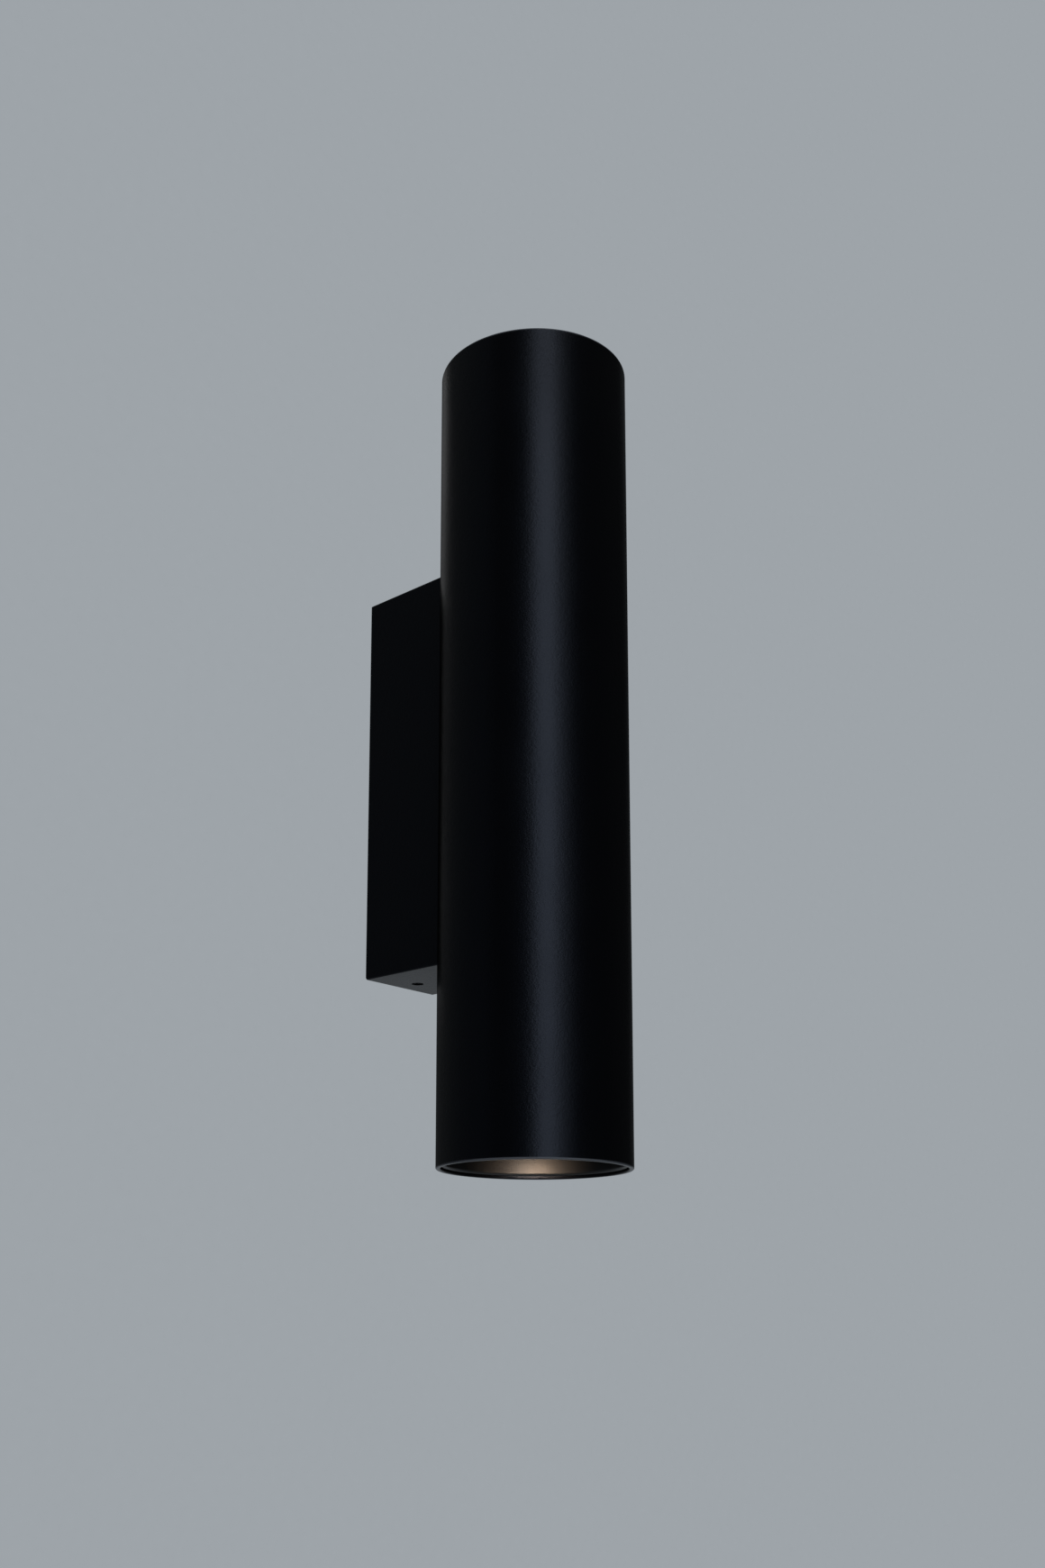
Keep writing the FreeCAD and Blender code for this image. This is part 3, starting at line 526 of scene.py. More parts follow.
def lens_tree():
    """The lens: a turned disc whose face is covered with small rounded lenses."""
    tree = Grower("pebbled_lens")
    disc = tree.turned(tree.whole("Segments"))
    face = tree.ask("Face Height")
    reach = tree.ask("Face Radius")
    pitch = tree.ask("Pebble Pitch")
    depth = tree.ask("Pebble Depth")
    x, y, z = tree.spot.parts()
    pebbles = 1 - (lattice(x, y, pitch) + 0.5) / 1.5
    on_face = (z > face - 0.02 * MM) * ((reach - distance(x, y)) / (1.2 * MM)).between(0, 1)
    return tree.close(tree.placed(disc, tree.vector(x, y, z - depth * pebbles * on_face)))


def threaded(tree, diameter, length, pitch, facets=28):
    """A threaded shank from the origin down to -length, with a tapered tip."""
    steps = (length / pitch).ceil() * THREAD_ROWS + 1
    rows = steps + 2
    grid, row, turn = tree.net(facets, rows)
    along = (row - 1).between(0, steps - 1) / (steps - 1) * length
    ridge = abs((along / pitch - turn).fraction() - 0.5) * 2
    crest = (ridge * 1.5 - 0.2).between(0, 1)
    depth = pitch * THREAD_DEPTH
    root = diameter / 2 - depth
    radius = (root + depth * crest).lowest(root + (length - along) * TIP_TAPER)
    inside = (row > 0.5) * (row < rows - 1.5)
    return tree.wrapped(grid, radius * inside, turn, -along)


def screw_tree(drive):
    """A screw with a threaded shank, a turned head and a driven recess, pointing down."""
    tree = Grower("threaded_screw_" + drive)
    diameter, length, pitch = tree.ask("Diameter"), tree.ask("Length"), tree.ask("Pitch")
    shank = tree.moved(threaded(tree, diameter, length, pitch), (0, 0, SHANK_SINK))
    head = tree.turned(tree.whole("Segments"))
    width, depth, top = tree.ask("Recess Width"), tree.ask("Recess Depth"), tree.ask("Top")
    middle = tree.vector(0.0, 0.0, top)
    if drive == "hexagon":
        tool = tree.bar(width / math.sqrt(3), depth * 2, 6)
    else:
        blade = width / (4.2 if drive == "cross" else 6)
        tool = tree.geo("MeshCube", {}, [tree.vector(width, blade, depth * 2)])
    turns = (0, math.pi / 2) if drive == "cross" else (0,)
    cutters = [tree.moved(tool, middle, (0, 0, turn)) for turn in turns]
    return tree.close(tree.cut(tree.cut(head, [shank], "UNION"), cutters))


def nut_tree():
    """A hexagon nut whose corners are eased by the turned outline, with a bore."""
    tree = Grower("eased_nut")
    envelope = tree.turned(tree.whole("Segments"))
    height = tree.ask("Height")
    middle = tree.vector(0.0, 0.0, height / 2)
    hexagon = tree.moved(tree.bar(tree.ask("Flats") / math.sqrt(3), height, 6), middle)
    bore = tree.moved(tree.bar(tree.ask("Bore") / 2, height * 3, 32), middle)
    nut = tree.cut(envelope, [hexagon], "INTERSECT")
    return tree.close(tree.cut(nut, [bore]))


def planting_tree():
    """Copies of one item on the input's points, each turned to face the way its point says."""
    tree = Grower("planted_items")
    item = tree.ask("Item", "NodeSocketObject")
    shape = tree.geo("ObjectInfo", {"transform_space": "ORIGINAL"}, [item], "Geometry")
    facing = tree.geo("InputNamedAttribute", {"data_type": "FLOAT_VECTOR"}, ["facing"])
    turn = tree.node("FunctionNodeAlignRotationToVector", {"axis": "Z"}, {"Vector": facing})
    inputs = {"Points": tree.outline, "Instance": shape, "Rotation": turn}
    return tree.close(tree.geo("InstanceOnPoints", {}, inputs))


def wire_tree():
    """Round wires along the input's edges."""
    tree = Grower("round_wires")
    path = tree.geo("MeshToCurve", {}, [tree.outline])
    ring = tree.geo("CurvePrimitiveCircle", {}, {"Resolution": 20, "Radius": tree.ask("Radius")})
    return tree.close(tree.geo("CurveToMesh", {}, [path, ring, 1.0, True]))


def sleeve_tree():
    """A flat sleeve along the input's path, with rounded bends and rounded edges."""
    tree = Grower("flat_sleeve")
    path = tree.geo("MeshToCurve", {}, [tree.outline])
    bends = {"Curve": path, "Count": 10, "Radius": tree.ask("Bend"), "Limit Radius": True}
    path = tree.geo("FilletCurve", {"mode": "POLY"}, bends)
    size = {"Width": tree.ask("Width"), "Height": tree.ask("Thickness")}
    section = tree.geo("CurvePrimitiveQuadrilateral", {}, size)
    edges = {"Curve": section, "Count": 5, "Radius": tree.ask("Edge"), "Limit Radius": True}
    section = tree.geo("FilletCurve", {"mode": "POLY"}, edges)
    return tree.close(tree.geo("CurveToMesh", {}, [path, section, 1.0, True]))


def new_object(name, data):
    """An object at the origin, in the scene."""
    made = bpy.data.objects.new(name, data)
    bpy.context.scene.collection.objects.link(made)
    return made


def aimed(name, data, place, way):
    """A light at a place, which shines the given way."""
    light = new_object(name, data)
    light.matrix_world = Matrix.Translation(place) @ way.to_track_quat("-Z", "Y").to_matrix().to_4x4()
    return light


def wire_mesh(points, edges=None):
    """A mesh of points joined in a row, or by the edges that are given."""
    edges = edges or [(index, index + 1) for index in range(len(points) - 1)]
    mesh = bpy.data.meshes.new("path")
    mesh.from_pydata([Vector(point) for point in points], edges, [])
    return mesh


def outline_mesh(corners, steps=4):
    """A turned piece's outline from (radius, height, rounding) corners. Off the axis it closes on itself."""
    spots = [Vector((radius, 0, height)) for radius, height, _ in corners]
    on_axis = corners[0][0] == 0
    points = []
    for index, here in enumerate(spots):
        rounding = corners[index][2]
        if not rounding:
            points.append(here)
            continue
        before, after = spots[index - 1], spots[(index + 1) % len(spots)]
        enter = here + (before - here).normalized() * rounding
        leave = here + (after - here).normalized() * rounding
        for step in range(steps + 1):
            t = step / steps
            points.append(enter * (1 - t) ** 2 + here * (2 * t * (1 - t)) + leave * t ** 2)
    if not on_axis:
        points.append(points[0])
    return wire_mesh(points)


def outline_mm(corners, foot=0.0):
    """The same from corners in millimetres, over a foot in metres."""
    return outline_mesh([(radius * MM, foot + height * MM, ease * MM) for radius, height, ease in corners])


def coat(mesh, finish):
    """Gives a mesh one material."""
    mesh.materials.clear()
    mesh.materials.append(finish)


def grown(tree, mesh, values, place=Matrix.Identity(4)):
    """The plain mesh that a tree makes from a mesh, closed, smooth and facing outwards."""
    holder = new_object("holder", mesh)
    modifier = holder.modifiers.new("grow", "NODES")
    modifier.node_group = tree
    for item in tree.interface.items_tree:
        if item.item_type == "SOCKET" and item.in_out == "INPUT" and item.name in values:
            modifier[item.identifier] = values[item.name]
    depsgraph = bpy.context.evaluated_depsgraph_get()
    made = bpy.data.meshes.new_from_object(holder.evaluated_get(depsgraph))
    bpy.data.objects.remove(holder)
    bpy.data.meshes.remove(mesh)
    if not made.polygons:
        raise RuntimeError("the tree " + tree.name + " made no faces")
    shape = bmesh.new()
    shape.from_mesh(made)
    bmesh.ops.remove_doubles(shape, verts=shape.verts, dist=TINY)
    bmesh.ops.dissolve_degenerate(shape, edges=shape.edges, dist=TINY)
    bmesh.ops.recalc_face_normals(shape, faces=shape.faces)
    if shape.calc_volume(signed=True) < 0:
        bmesh.ops.reverse_faces(shape, faces=shape.faces)
    loose = [vertex for vertex in shape.verts if not vertex.link_faces]
    bmesh.ops.delete(shape, geom=loose, context="VERTS")
    shape.to_mesh(made)
    shape.free()
    made.transform(place)
    made.shade_smooth()
    made.set_sharp_from_angle(angle=SHARP_ANGLE)
    coat(made, values["Finish"])
    return made


def screw_mesh(drive, outline, segments, shank, recess, top, finish):
    """A screw from its head's outline: shank is (diameter, length, pitch), recess is (width, depth)."""
    diameter, length, pitch = shank
    return grown(screw_tree(drive), outline, {
        "Segments": segments, "Diameter": diameter, "Length": length, "Pitch": pitch,
        "Recess Width": recess[0], "Recess Depth": recess[1], "Top": top, "Finish": finish})


def planted(item, seats, finish):
    """One mesh with a copy of the item at each (place, facing) seat."""
    holder = new_object("item", item)
    points = wire_mesh([place for place, _ in seats])
    facing = points.attributes.new("facing", "FLOAT_VECTOR", "POINT")
    for value, (_, way) in zip(facing.data, seats):
        value.vector = way
    made = grown(planting_tree(), points, {"Item": holder, "Finish": finish})
    bpy.data.objects.remove(holder)
    return made


BODY_OF = {
    node: body
    for body, nodes in frame["record"]["behaviour"]["bodies"].items()
    for node in nodes
}


def turned(outline, segments, finish, place=Matrix.Identity(4)):
    """A plain turned mesh."""
    return grown(turning_tree(), outline, {"Segments": segments, "Finish": finish}, place)


def place_piece(name, mesh, node):
    """Puts a piece where its CAD node is, hides that node and puts the piece on the node's body."""
    piece = new_object(name, mesh)
    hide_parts(node)
    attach(piece, BODY_OF[node])


def place_pair(name, mesh, node):
    """Puts a piece at the upper end, and a copy by half a turn about Y at the lower end."""
    lower = mesh.copy()
    lower.transform(HALF_TURN_Y)
    place_piece("upper_" + name, mesh, "upper_" + node)
    place_piece("lower_" + name, lower, "lower_" + node)


def finish_node(node, finish):
    """Gives a CAD node a better material."""
    coat(frame["nodes"][node].data, finish)


# ---------------------------------------------------------------- settings

def amount(name, description, default, low=0.0, **more):
    return FloatProperty(name=name, description=description, default=default, min=low, **more)


def length(name, description, default):
    return amount(name, description, default, unit="LENGTH", precision=5)


def share(name, description, default):
    return amount(name, description, default, max=1.0, subtype="FACTOR")


def angle(name, description, degrees):
    return FloatProperty(
        name=name, description=description, default=math.radians(degrees), subtype="ANGLE")


def colour(name, description, default):
    return FloatVectorProperty(
        name=name, description=description, default=(*default, 1.0), size=4, min=0.0, max=1.0,
        subtype="COLOR")


def count(name, description, default):
    return IntProperty(name=name, description=description, default=default, min=3)


class TubeSettings(bpy.types.PropertyGroup):
    """Sizes of the tube and its coat."""

    radius: length("Radius", "Outside radius of the tube", 30 * MM)
    wall: length("Wall", "Thickness of the tube's wall", 1.5 * MM)
    half_length: length("Half length", "From the middle to each rim", 130 * MM)
    rim_round: length("Rim rounding", "Rounding of both edges of each rim", 0.5 * MM)
    segments: count("Facets", "Facets round the tube", 192)
    coat: colour("Coat", "Colour of the powder coat", (0.0004, 0.00045, 0.0006))
    roughness: share("Roughness", "Roughness of the coat", 0.30)
    gloss: share("Gloss", "Strength of the coat's reflection", 0.075)
    tint: colour("Tint", "Tint of the coat's reflection", (0.62, 0.74, 1.0))
    # The rim colour is a painted highlight: a paler grey for the light that the rounded rims catch from
    # below.
    rim: colour("Rim", "Colour of the rims, where the coat is thin", (0.045, 0.05, 0.058))
    fade: share("Fade", "How much of its sheen the coat loses at grazing angles", 0.9)


class BaffleSettings(bpy.types.PropertyGroup):
    """Sizes of the anti-glare baffles."""

    mouth: length("Mouth", "Radius of the baffle's mouth", 27.3 * MM)
    throat: length("Throat", "Radius of the opening over the lamp", 22.5 * MM)
    skirt_radius: length("Skirt", "Outside radius of the skirt", 28.4 * MM)
    skirt_wall: length("Skirt wall", "Thickness of the skirt", 0.9 * MM)
    cone_wall: length("Cone wall", "Thickness of the cone at its foot", 1.4 * MM)
    cone_height: length("Cone height", "Height of the cone over the lamp", 12 * MM)
    skirt_height: length("Skirt height", "Height of the skirt", 22 * MM)
    slit: length("Slit", "Width of the slits beside each tongue", 0.9 * MM)
    slit_height: length("Slit height", "How far the slits run up the skirt", 5 * MM)
    tongues: count("Tongues", "Sprung tongues round the skirt", 3)
    tongue_angle: angle("Tongue angle", "Width of a tongue", 22)
    coat: colour("Coat", "Colour inside the mouth", (0.0004, 0.0004, 0.00045))
    roughness: share("Roughness", "Roughness inside the mouth", 0.36)
    gloss: share("Gloss", "Strength of its reflection", 0.25)
    tint: colour("Tint", "Tint of its reflection", (0.92, 0.96, 1.0))


class LampSettings(bpy.types.PropertyGroup):
    """Sizes and light of the lamps."""

    flutes: count("Flutes", "Cooling flutes round the bowl", 24)
    flute_depth: length("Flute depth", "Depth of the flutes", 0.9 * MM)
    pebble_pitch: length("Pebble pitch", "Distance between the small lenses", 2.6 * MM)
    pebble_depth: length("Pebble depth", "Depth between the small lenses", 0.35 * MM)
    glow: colour("Glow", "Colour of the light", (1.0, 0.62, 0.34))
    strength: amount("Strength", "Brightness of the lit lens", 2.0)
    shell: colour("Shell", "Colour of the bowl and base", (0.80, 0.79, 0.75))


class FastenerSettings(bpy.types.PropertyGroup):
    """Threads and recesses of the screws."""

    coarse_pitch: length("Coarse pitch", "Thread pitch of the 4 mm screws", 0.7 * MM)
    fine_pitch: length("Fine pitch", "Thread pitch of the 3 mm screws", 0.5 * MM)
    cross_width: length("Cross width", "Width of the cross recess", 4.2 * MM)
    zinc: colour("Zinc", "Colour of the plated steel", (0.60, 0.61, 0.62))
    blackened: colour("Blackened", "Colour of the blackened screws", (0.030, 0.030, 0.033))


class FittingSettings(bpy.types.PropertyGroup):
    """Colours of the smaller fittings."""

    rubber: colour("Rubber", "Cable grommet", (0.016, 0.016, 0.017))
    nylon: colour("Nylon", "Terminal block and bush", (0.74, 0.74, 0.71))
    tin: colour("Tin", "Contacts and earth tag", (0.74, 0.70, 0.60))
    nickel: colour("Nickel", "Bayonet pins", (0.66, 0.63, 0.58))
    ceramic: colour("Ceramic", "Lampholders", (0.80, 0.78, 0.72))
    glass_sleeve: colour("Glass sleeve", "Sleeves of the leads", (0.72, 0.70, 0.64))
    live: colour("Live", "Live leads", (0.17, 0.055, 0.018))
    neutral: colour("Neutral", "Neutral leads", (0.02, 0.10, 0.34))
    earth_green: colour("Earth green", "Green half of the earth wire", (0.03, 0.26, 0.05))
    earth_yellow: colour("Earth yellow", "Yellow half of the earth wire", (0.80, 0.62, 0.04))
    sleeve_width: length("Sleeve width", "Width of a lead sleeve", 5 * MM)
    sleeve_thickness: length("Sleeve thickness", "Thickness of a lead sleeve", 2.2 * MM)
    lead_diameter: length("Lead diameter", "Diameter of a single lead", 1.6 * MM)


class StudioSettings(bpy.types.PropertyGroup):
    """Camera, lights, floor and backdrop."""

    camera_place: FloatVectorProperty(
        name="Camera", description="Where the camera stands", default=(-0.377406, -0.380112, -0.182832),
        subtype="TRANSLATION", precision=5)
    yaw: angle("Yaw", "Camera's turn from +Y towards +X", 46.278)
    pitch: angle("Pitch", "Camera's tilt upwards", 9.780)
    roll: angle("Roll", "Camera's roll", 0.454)
    focal: amount("Focal length", "Focal length on a 36 mm sensor, in millimetres", 37.721, 1.0)
    shift: FloatVectorProperty(
        name="Shift", description="Shift of the frame", size=2, default=(0.051724, 0.178161))
    surround: colour("Surround", "Light that comes evenly from all round", (0.13, 0.14, 0.152))
    floor: colour("Floor", "Colour of floor and backdrop", (0.342, 0.371, 0.397))
    floor_drop: length("Floor drop", "How far the floor lies below the light's middle", 1.25)
    backdrop: length("Backdrop", "How far the backdrop stands behind the light", 1.7)
    key: amount("Key", "Power of the key light", 26.0)
    fill: amount("Fill", "Power of the lights behind, above and below", 6.0)
    mouth: amount("Mouth light", "Power of the light in each mouth", 0.05)
    mouth_colour: colour("Mouth colour", "Colour of the light in each mouth", (1.0, 0.70, 0.48))


class WallLightSettings(bpy.types.PropertyGroup):
    """All settings of the wall light."""

    tube: PointerProperty(type=TubeSettings)
    baffle: PointerProperty(type=BaffleSettings)
    lamp: PointerProperty(type=LampSettings)
    fasteners: PointerProperty(type=FastenerSettings)
    fittings: PointerProperty(type=FittingSettings)
    studio: PointerProperty(type=StudioSettings)


# ---------------------------------------------------------------- operators

class WALLLIGHT_OT_stage(bpy.types.Operator):
    """Make the camera, the soft lights, the floor and the backdrop"""

    bl_idname = "wall_light.stage"
    bl_label = "Stage"

    def execute(self, context):
        settings = context.scene.wall_light
        studio = settings.studio
        self.place_camera(studio)
        self.set_surround(studio)
        self.lay_floor(studio)
        centre = Vector((0, TUBE_Y, 0))
        for light in (  # azimuth, elevation, distance, size, power
            (-36, 16, 1.5, (0.62, 2.0), studio.key),
            (-18, 16, 1.5, (0.5, 2.0), studio.key * 0.2),
            (163, 24, 1.5, (0.4, 0.8), studio.fill * 0.35),
            (0, 84, 1.4, (0.7, 0.7), studio.fill * 0.6),
            (10, -84, 1.0, (0.7, 0.7), studio.fill * 0.35),
        ):
            soft_light(centre, *light)
        for side in (1, -1):
            self.mouth_light(studio, side)
        bpy.context.scene.view_settings.view_transform = "Standard"
        return {"FINISHED"}

    def mouth_light(self, studio, side):
        """A stand-in for the warm light that one lamp throws on the far wall of its mouth."""
        data = bpy.data.lights.new("mouth_light", "SPOT")
        data.energy = studio.mouth
        data.color = studio.mouth_colour[:3]
        data.spot_size = math.radians(110)
        data.spot_blend = 1.0
        data.shadow_soft_size = 2 * MM
        aimed("mouth_light", data, (0, TUBE_Y, side * MOUTH_LIGHT_Z), Vector((1, 1, 0)))

    def place_camera(self, studio):
        data = bpy.data.cameras.new("photo_camera")
        camera = new_object("photo_camera", data)
        turn = (
            Matrix.Rotation(-studio.yaw, 4, "Z") @ Matrix.Rotation(math.pi / 2 + studio.pitch, 4, "X")
            @ Matrix.Rotation(studio.roll, 4, "Z"))
        camera.matrix_world = Matrix.Translation(studio.camera_place) @ turn
        data.sensor_width = 36
        data.lens = studio.focal
        data.shift_x, data.shift_y = studio.shift
        data.clip_start = 0.01
        data.clip_end = 50
        bpy.context.scene.camera = camera

    def set_surround(self, studio):
        """An even surround, which shows the backdrop's colour to the eye where the backdrop ends."""
        world = bpy.data.worlds.new("plain_surround")
        world.use_nodes = True
        sheet = Sheet(world.node_tree)
        tones = (studio.surround, studio.floor)
        light, seen = (sheet.shader("Background", {}, [tone]) for tone in tones)
        to_eye = sheet.shader("LightPath", {}, (), "Is Camera Ray")
        shown = sheet.shader("MixShader", {}, [to_eye, light, seen])
        sheet.plug(world.node_tree.nodes["World Output"].inputs["Surface"], shown)
        bpy.context.scene.world = world

    def lay_floor(self, studio):
        """A floor that curves up into the backdrop, as one swept sheet."""
        low, back, curve, steps = -studio.floor_drop, studio.backdrop, 0.5, 16
        reach, half_width = 7.0, 9.0
        profile = [(-reach, low), (back - curve, low)]
        for step in range(1, steps):
            angle = step / steps * math.pi / 2
            profile.append((back - curve + curve * math.sin(angle), low + curve - curve * math.cos(angle)))
        profile += [(back, low + curve), (back, reach)]
        points = [(side, y, z) for y, z in profile for side in (-half_width, half_width)]
        faces = [(2 * i, 2 * i + 1, 2 * i + 3, 2 * i + 2) for i in range(len(profile) - 1)]
        mesh = bpy.data.meshes.new("floor_and_backdrop")
        mesh.from_pydata(points, [], faces)
        mesh.shade_smooth()
        mesh.materials.append(self.pale_paper(studio.floor))
        sheet = new_object("floor_and_backdrop", mesh)

    def pale_paper(self, pale):
        """Paper that shows its own even colour to the eye and in reflections, whatever light falls on it."""
        finish = Finish("pale_paper", {"Specular IOR Level": 0.2})
        fibre = finish.noise(0.02, 4.0)
        tone = finish.mix(fibre, shade(pale, 0.985), shade(pale, 1.015))
        finish.paint({"Base Color": tone, "Roughness": 0.8 + fibre * 0.1})
        seen, mirrored, through = (
            finish.shader("LightPath", {}, (), ray)
            for ray in ("Is Camera Ray", "Is Glossy Ray", "Is Transmission Ray"))
        plain = finish.shader("Emission", {}, [tone])
        share_shown = seen + mirrored + through
        finish.show(finish.shader("MixShader", {}, [share_shown, finish.first(), plain]))
        return finish.material


def soft_light(centre, azimuth, elevation, distance, size, power):
    """A soft rectangular light that points at the object and isn't seen itself."""
    data = bpy.data.lights.new("soft_light", "AREA")
    data.shape = "RECTANGLE"
    data.size, data.size_y = size
    data.energy = power
    a, e = math.radians(azimuth), math.radians(elevation)
    back = Vector((math.sin(a) * math.cos(e), -math.cos(a) * math.cos(e), math.sin(e)))
    light = aimed("soft_light", data, centre + back * distance, -back)
    light.visible_camera = False


class WALLLIGHT_OT_tube(bpy.types.Operator):
    """Turn the tube, round its rims and bore it"""

    bl_idname = "wall_light.tube"
    bl_label = "Tube"

    def execute(self, context):
        tube = context.scene.wall_light.tube
        inner, outer, end, ease = tube.radius - tube.wall, tube.radius, tube.half_length, tube.rim_round
        outline = outline_mesh([
            (inner, -end, ease), (outer, -end, ease), (outer, end, ease), (inner, end, ease)])
        black = fading_coat("black_powder_coat", tube, 0.08 * MM)
        mesh = grown(tube_tree(), outline, {
            "Segments": tube.segments, "Radius": tube.radius, "Screw Hole": 4.3 * MM,
            "Screw Height": FIXING_Z, "Lower Height": -FIXING_Z, "Bush Hole": 10 * MM,
            "Bush Height": BUSH_Z, "Finish": black,
        }, ON_TUBE_AXIS)
        place_piece("tube", mesh, "tube_body")
        finish_node("mount_box", black)
        return {"FINISHED"}


class WALLLIGHT_OT_wall_plate(bpy.types.Operator):
    """Finish the wall plate and mould its cable grommet"""

    bl_idname = "wall_light.wall_plate"
    bl_label = "Wall plate and grommet"

    def execute(self, context):
        settings = context.scene.wall_light
        finish_node("wall_plate", zinc_sheet("zinc_plated_sheet", settings.fasteners.zinc))
        rubber = moulded("grommet_rubber", settings.fittings.rubber, 0.62, 0.02 * MM)
        outline = outline_mm([
            (5.5, 0, 0.3), (8, 0, 0), (8, 1.5, 0), (10, 1.5, 0.3), (10, 3, 0.7), (5.5, 3, 0.5)])
        place = Matrix.Translation((0, 0, CABLE_Z)) @ Z_TO_MINUS_Y
        mesh = turned(outline, 72, rubber, place)
        place_piece("grommet", mesh, "cable_grommet")
        return {"FINISHED"}


class WALLLIGHT_OT_retaining_screws(bpy.types.Operator):
    """Cut the two headless screws that hold the box on the plate"""

    bl_idname = "wall_light.retaining_screws"
    bl_label = "Retaining screws"

    def execute(self, context):
        fasteners = context.scene.wall_light.fasteners
        black = plated_steel("blackened_steel", fasteners.blackened, 0.38)
        low, top, radius, head, ease = 60.7 * MM, 64.6 * MM, 2 * MM, 1.6 * MM, 0.35 * MM
        outline = outline_mesh([
            (0, 0, 0), (radius, 0, 0), (radius, head - ease, 0), (radius - ease, head, 0), (0, head, 0)])
        shank = (2 * radius - 0.06 * MM, top - low - head + SHANK_SINK, fasteners.coarse_pitch)
        screw = screw_mesh("hexagon", outline, 40, shank, (2 * MM, 1.5 * MM), head, black)
        seats = [((0, -8 * MM, (top - head) * side), (0, 0, side)) for side in (1, -1)]
        place_piece("retaining_screw_pair", planted(screw, seats, black), "retaining_screws")
        return {"FINISHED"}


class WALLLIGHT_OT_fixing_screws(bpy.types.Operator):
    """Cut the two screws through box, tube and brackets, with their washers"""

    bl_idname = "wall_light.fixing_screws"
    bl_label = "Fixing screws and washers"

    def execute(self, context):
        fasteners = context.scene.wall_light.fasteners
        zinc = plated_steel("zinc_plated_screws", fasteners.zinc, 0.30)
        seats = [
            ((0, LAND_Y + 1.6 * MM, FIXING_Z), (0, 1, 0)),
            ((0, LAND_Y + 0.8 * MM, -FIXING_Z), (0, 1, 0)),
        ]
        outline = outline_mm([(0, 0, 0), (4, 0, 0.15), (4, 1.7, 0.6), (2.6, 2.6, 0.8), (0, 2.6, 0)])
        shank = (4 * MM, 10 * MM, fasteners.coarse_pitch)
        recess = (fasteners.cross_width, 1.5 * MM)
        screw = screw_mesh("cross", outline, 48, shank, recess, 2.6 * MM, zinc)
        place_piece("fixing_screw_pair", planted(screw, seats, zinc), "fixing_screws")
        ring = outline_mm([(2.15, -0.8, 0.1), (4.5, -0.8, 0.1), (4.5, 0, 0.2), (2.15, 0, 0.2)])
        washer = turned(ring, 56, zinc)
        place_piece("fixing_washer_pair", planted(washer, seats, zinc), "fixing_washers")
        return {"FINISHED"}


class WALLLIGHT_OT_terminals(bpy.types.Operator):
    """Finish the terminal block and cut its screw"""

    bl_idname = "wall_light.terminals"
    bl_label = "Terminal block"

    def execute(self, context):
        settings = context.scene.wall_light
        nylon = moulded("terminal_nylon", settings.fittings.nylon, 0.42, 0.015 * MM)
        finish_node("terminal_block", nylon)
        zinc = plated_steel("terminal_screw_zinc", settings.fasteners.zinc, 0.32)
        outline = outline_mm([(0, 0, 0), (2.5, 0, 0.1), (2.5, 1.8, 0.7), (0, 1.8, 0)])
        shank = (3 * MM, 5.4 * MM, settings.fasteners.fine_pitch)
        screw = screw_mesh("slot", outline, 40, shank, (6 * MM, 0.8 * MM), 1.8 * MM, zinc)
        seats = [((0, LAND_Y + 3 * MM, -11.5 * MM), (0, 1, 0))]
        place_piece("terminal_block_screw", planted(screw, seats, zinc), "terminal_screw")
        return {"FINISHED"}


class WALLLIGHT_OT_earth(bpy.types.Operator):
    """Finish the earth tag and run its striped wire"""

    bl_idname = "wall_light.earth"
    bl_label = "Earth tag and wire"

    def execute(self, context):
        fittings = context.scene.wall_light.fittings
        finish_node("earth_tag", plated_steel("tinned_brass_tag", fittings.tin, 0.30))
        start = Vector((7.9, -23.45, 39.9)) * MM
        end = Vector((7.5, -19.2, 6.5)) * MM
        stripes = striped_wire("earth_insulation", fittings.earth_green, fittings.earth_yellow, start, end)
        radius = {"Radius": fittings.lead_diameter / 2, "Finish": stripes}
        mesh = grown(wire_tree(), wire_mesh([start, end]), radius)
        place_piece("earth_lead", mesh, "earth_wire")
        return {"FINISHED"}


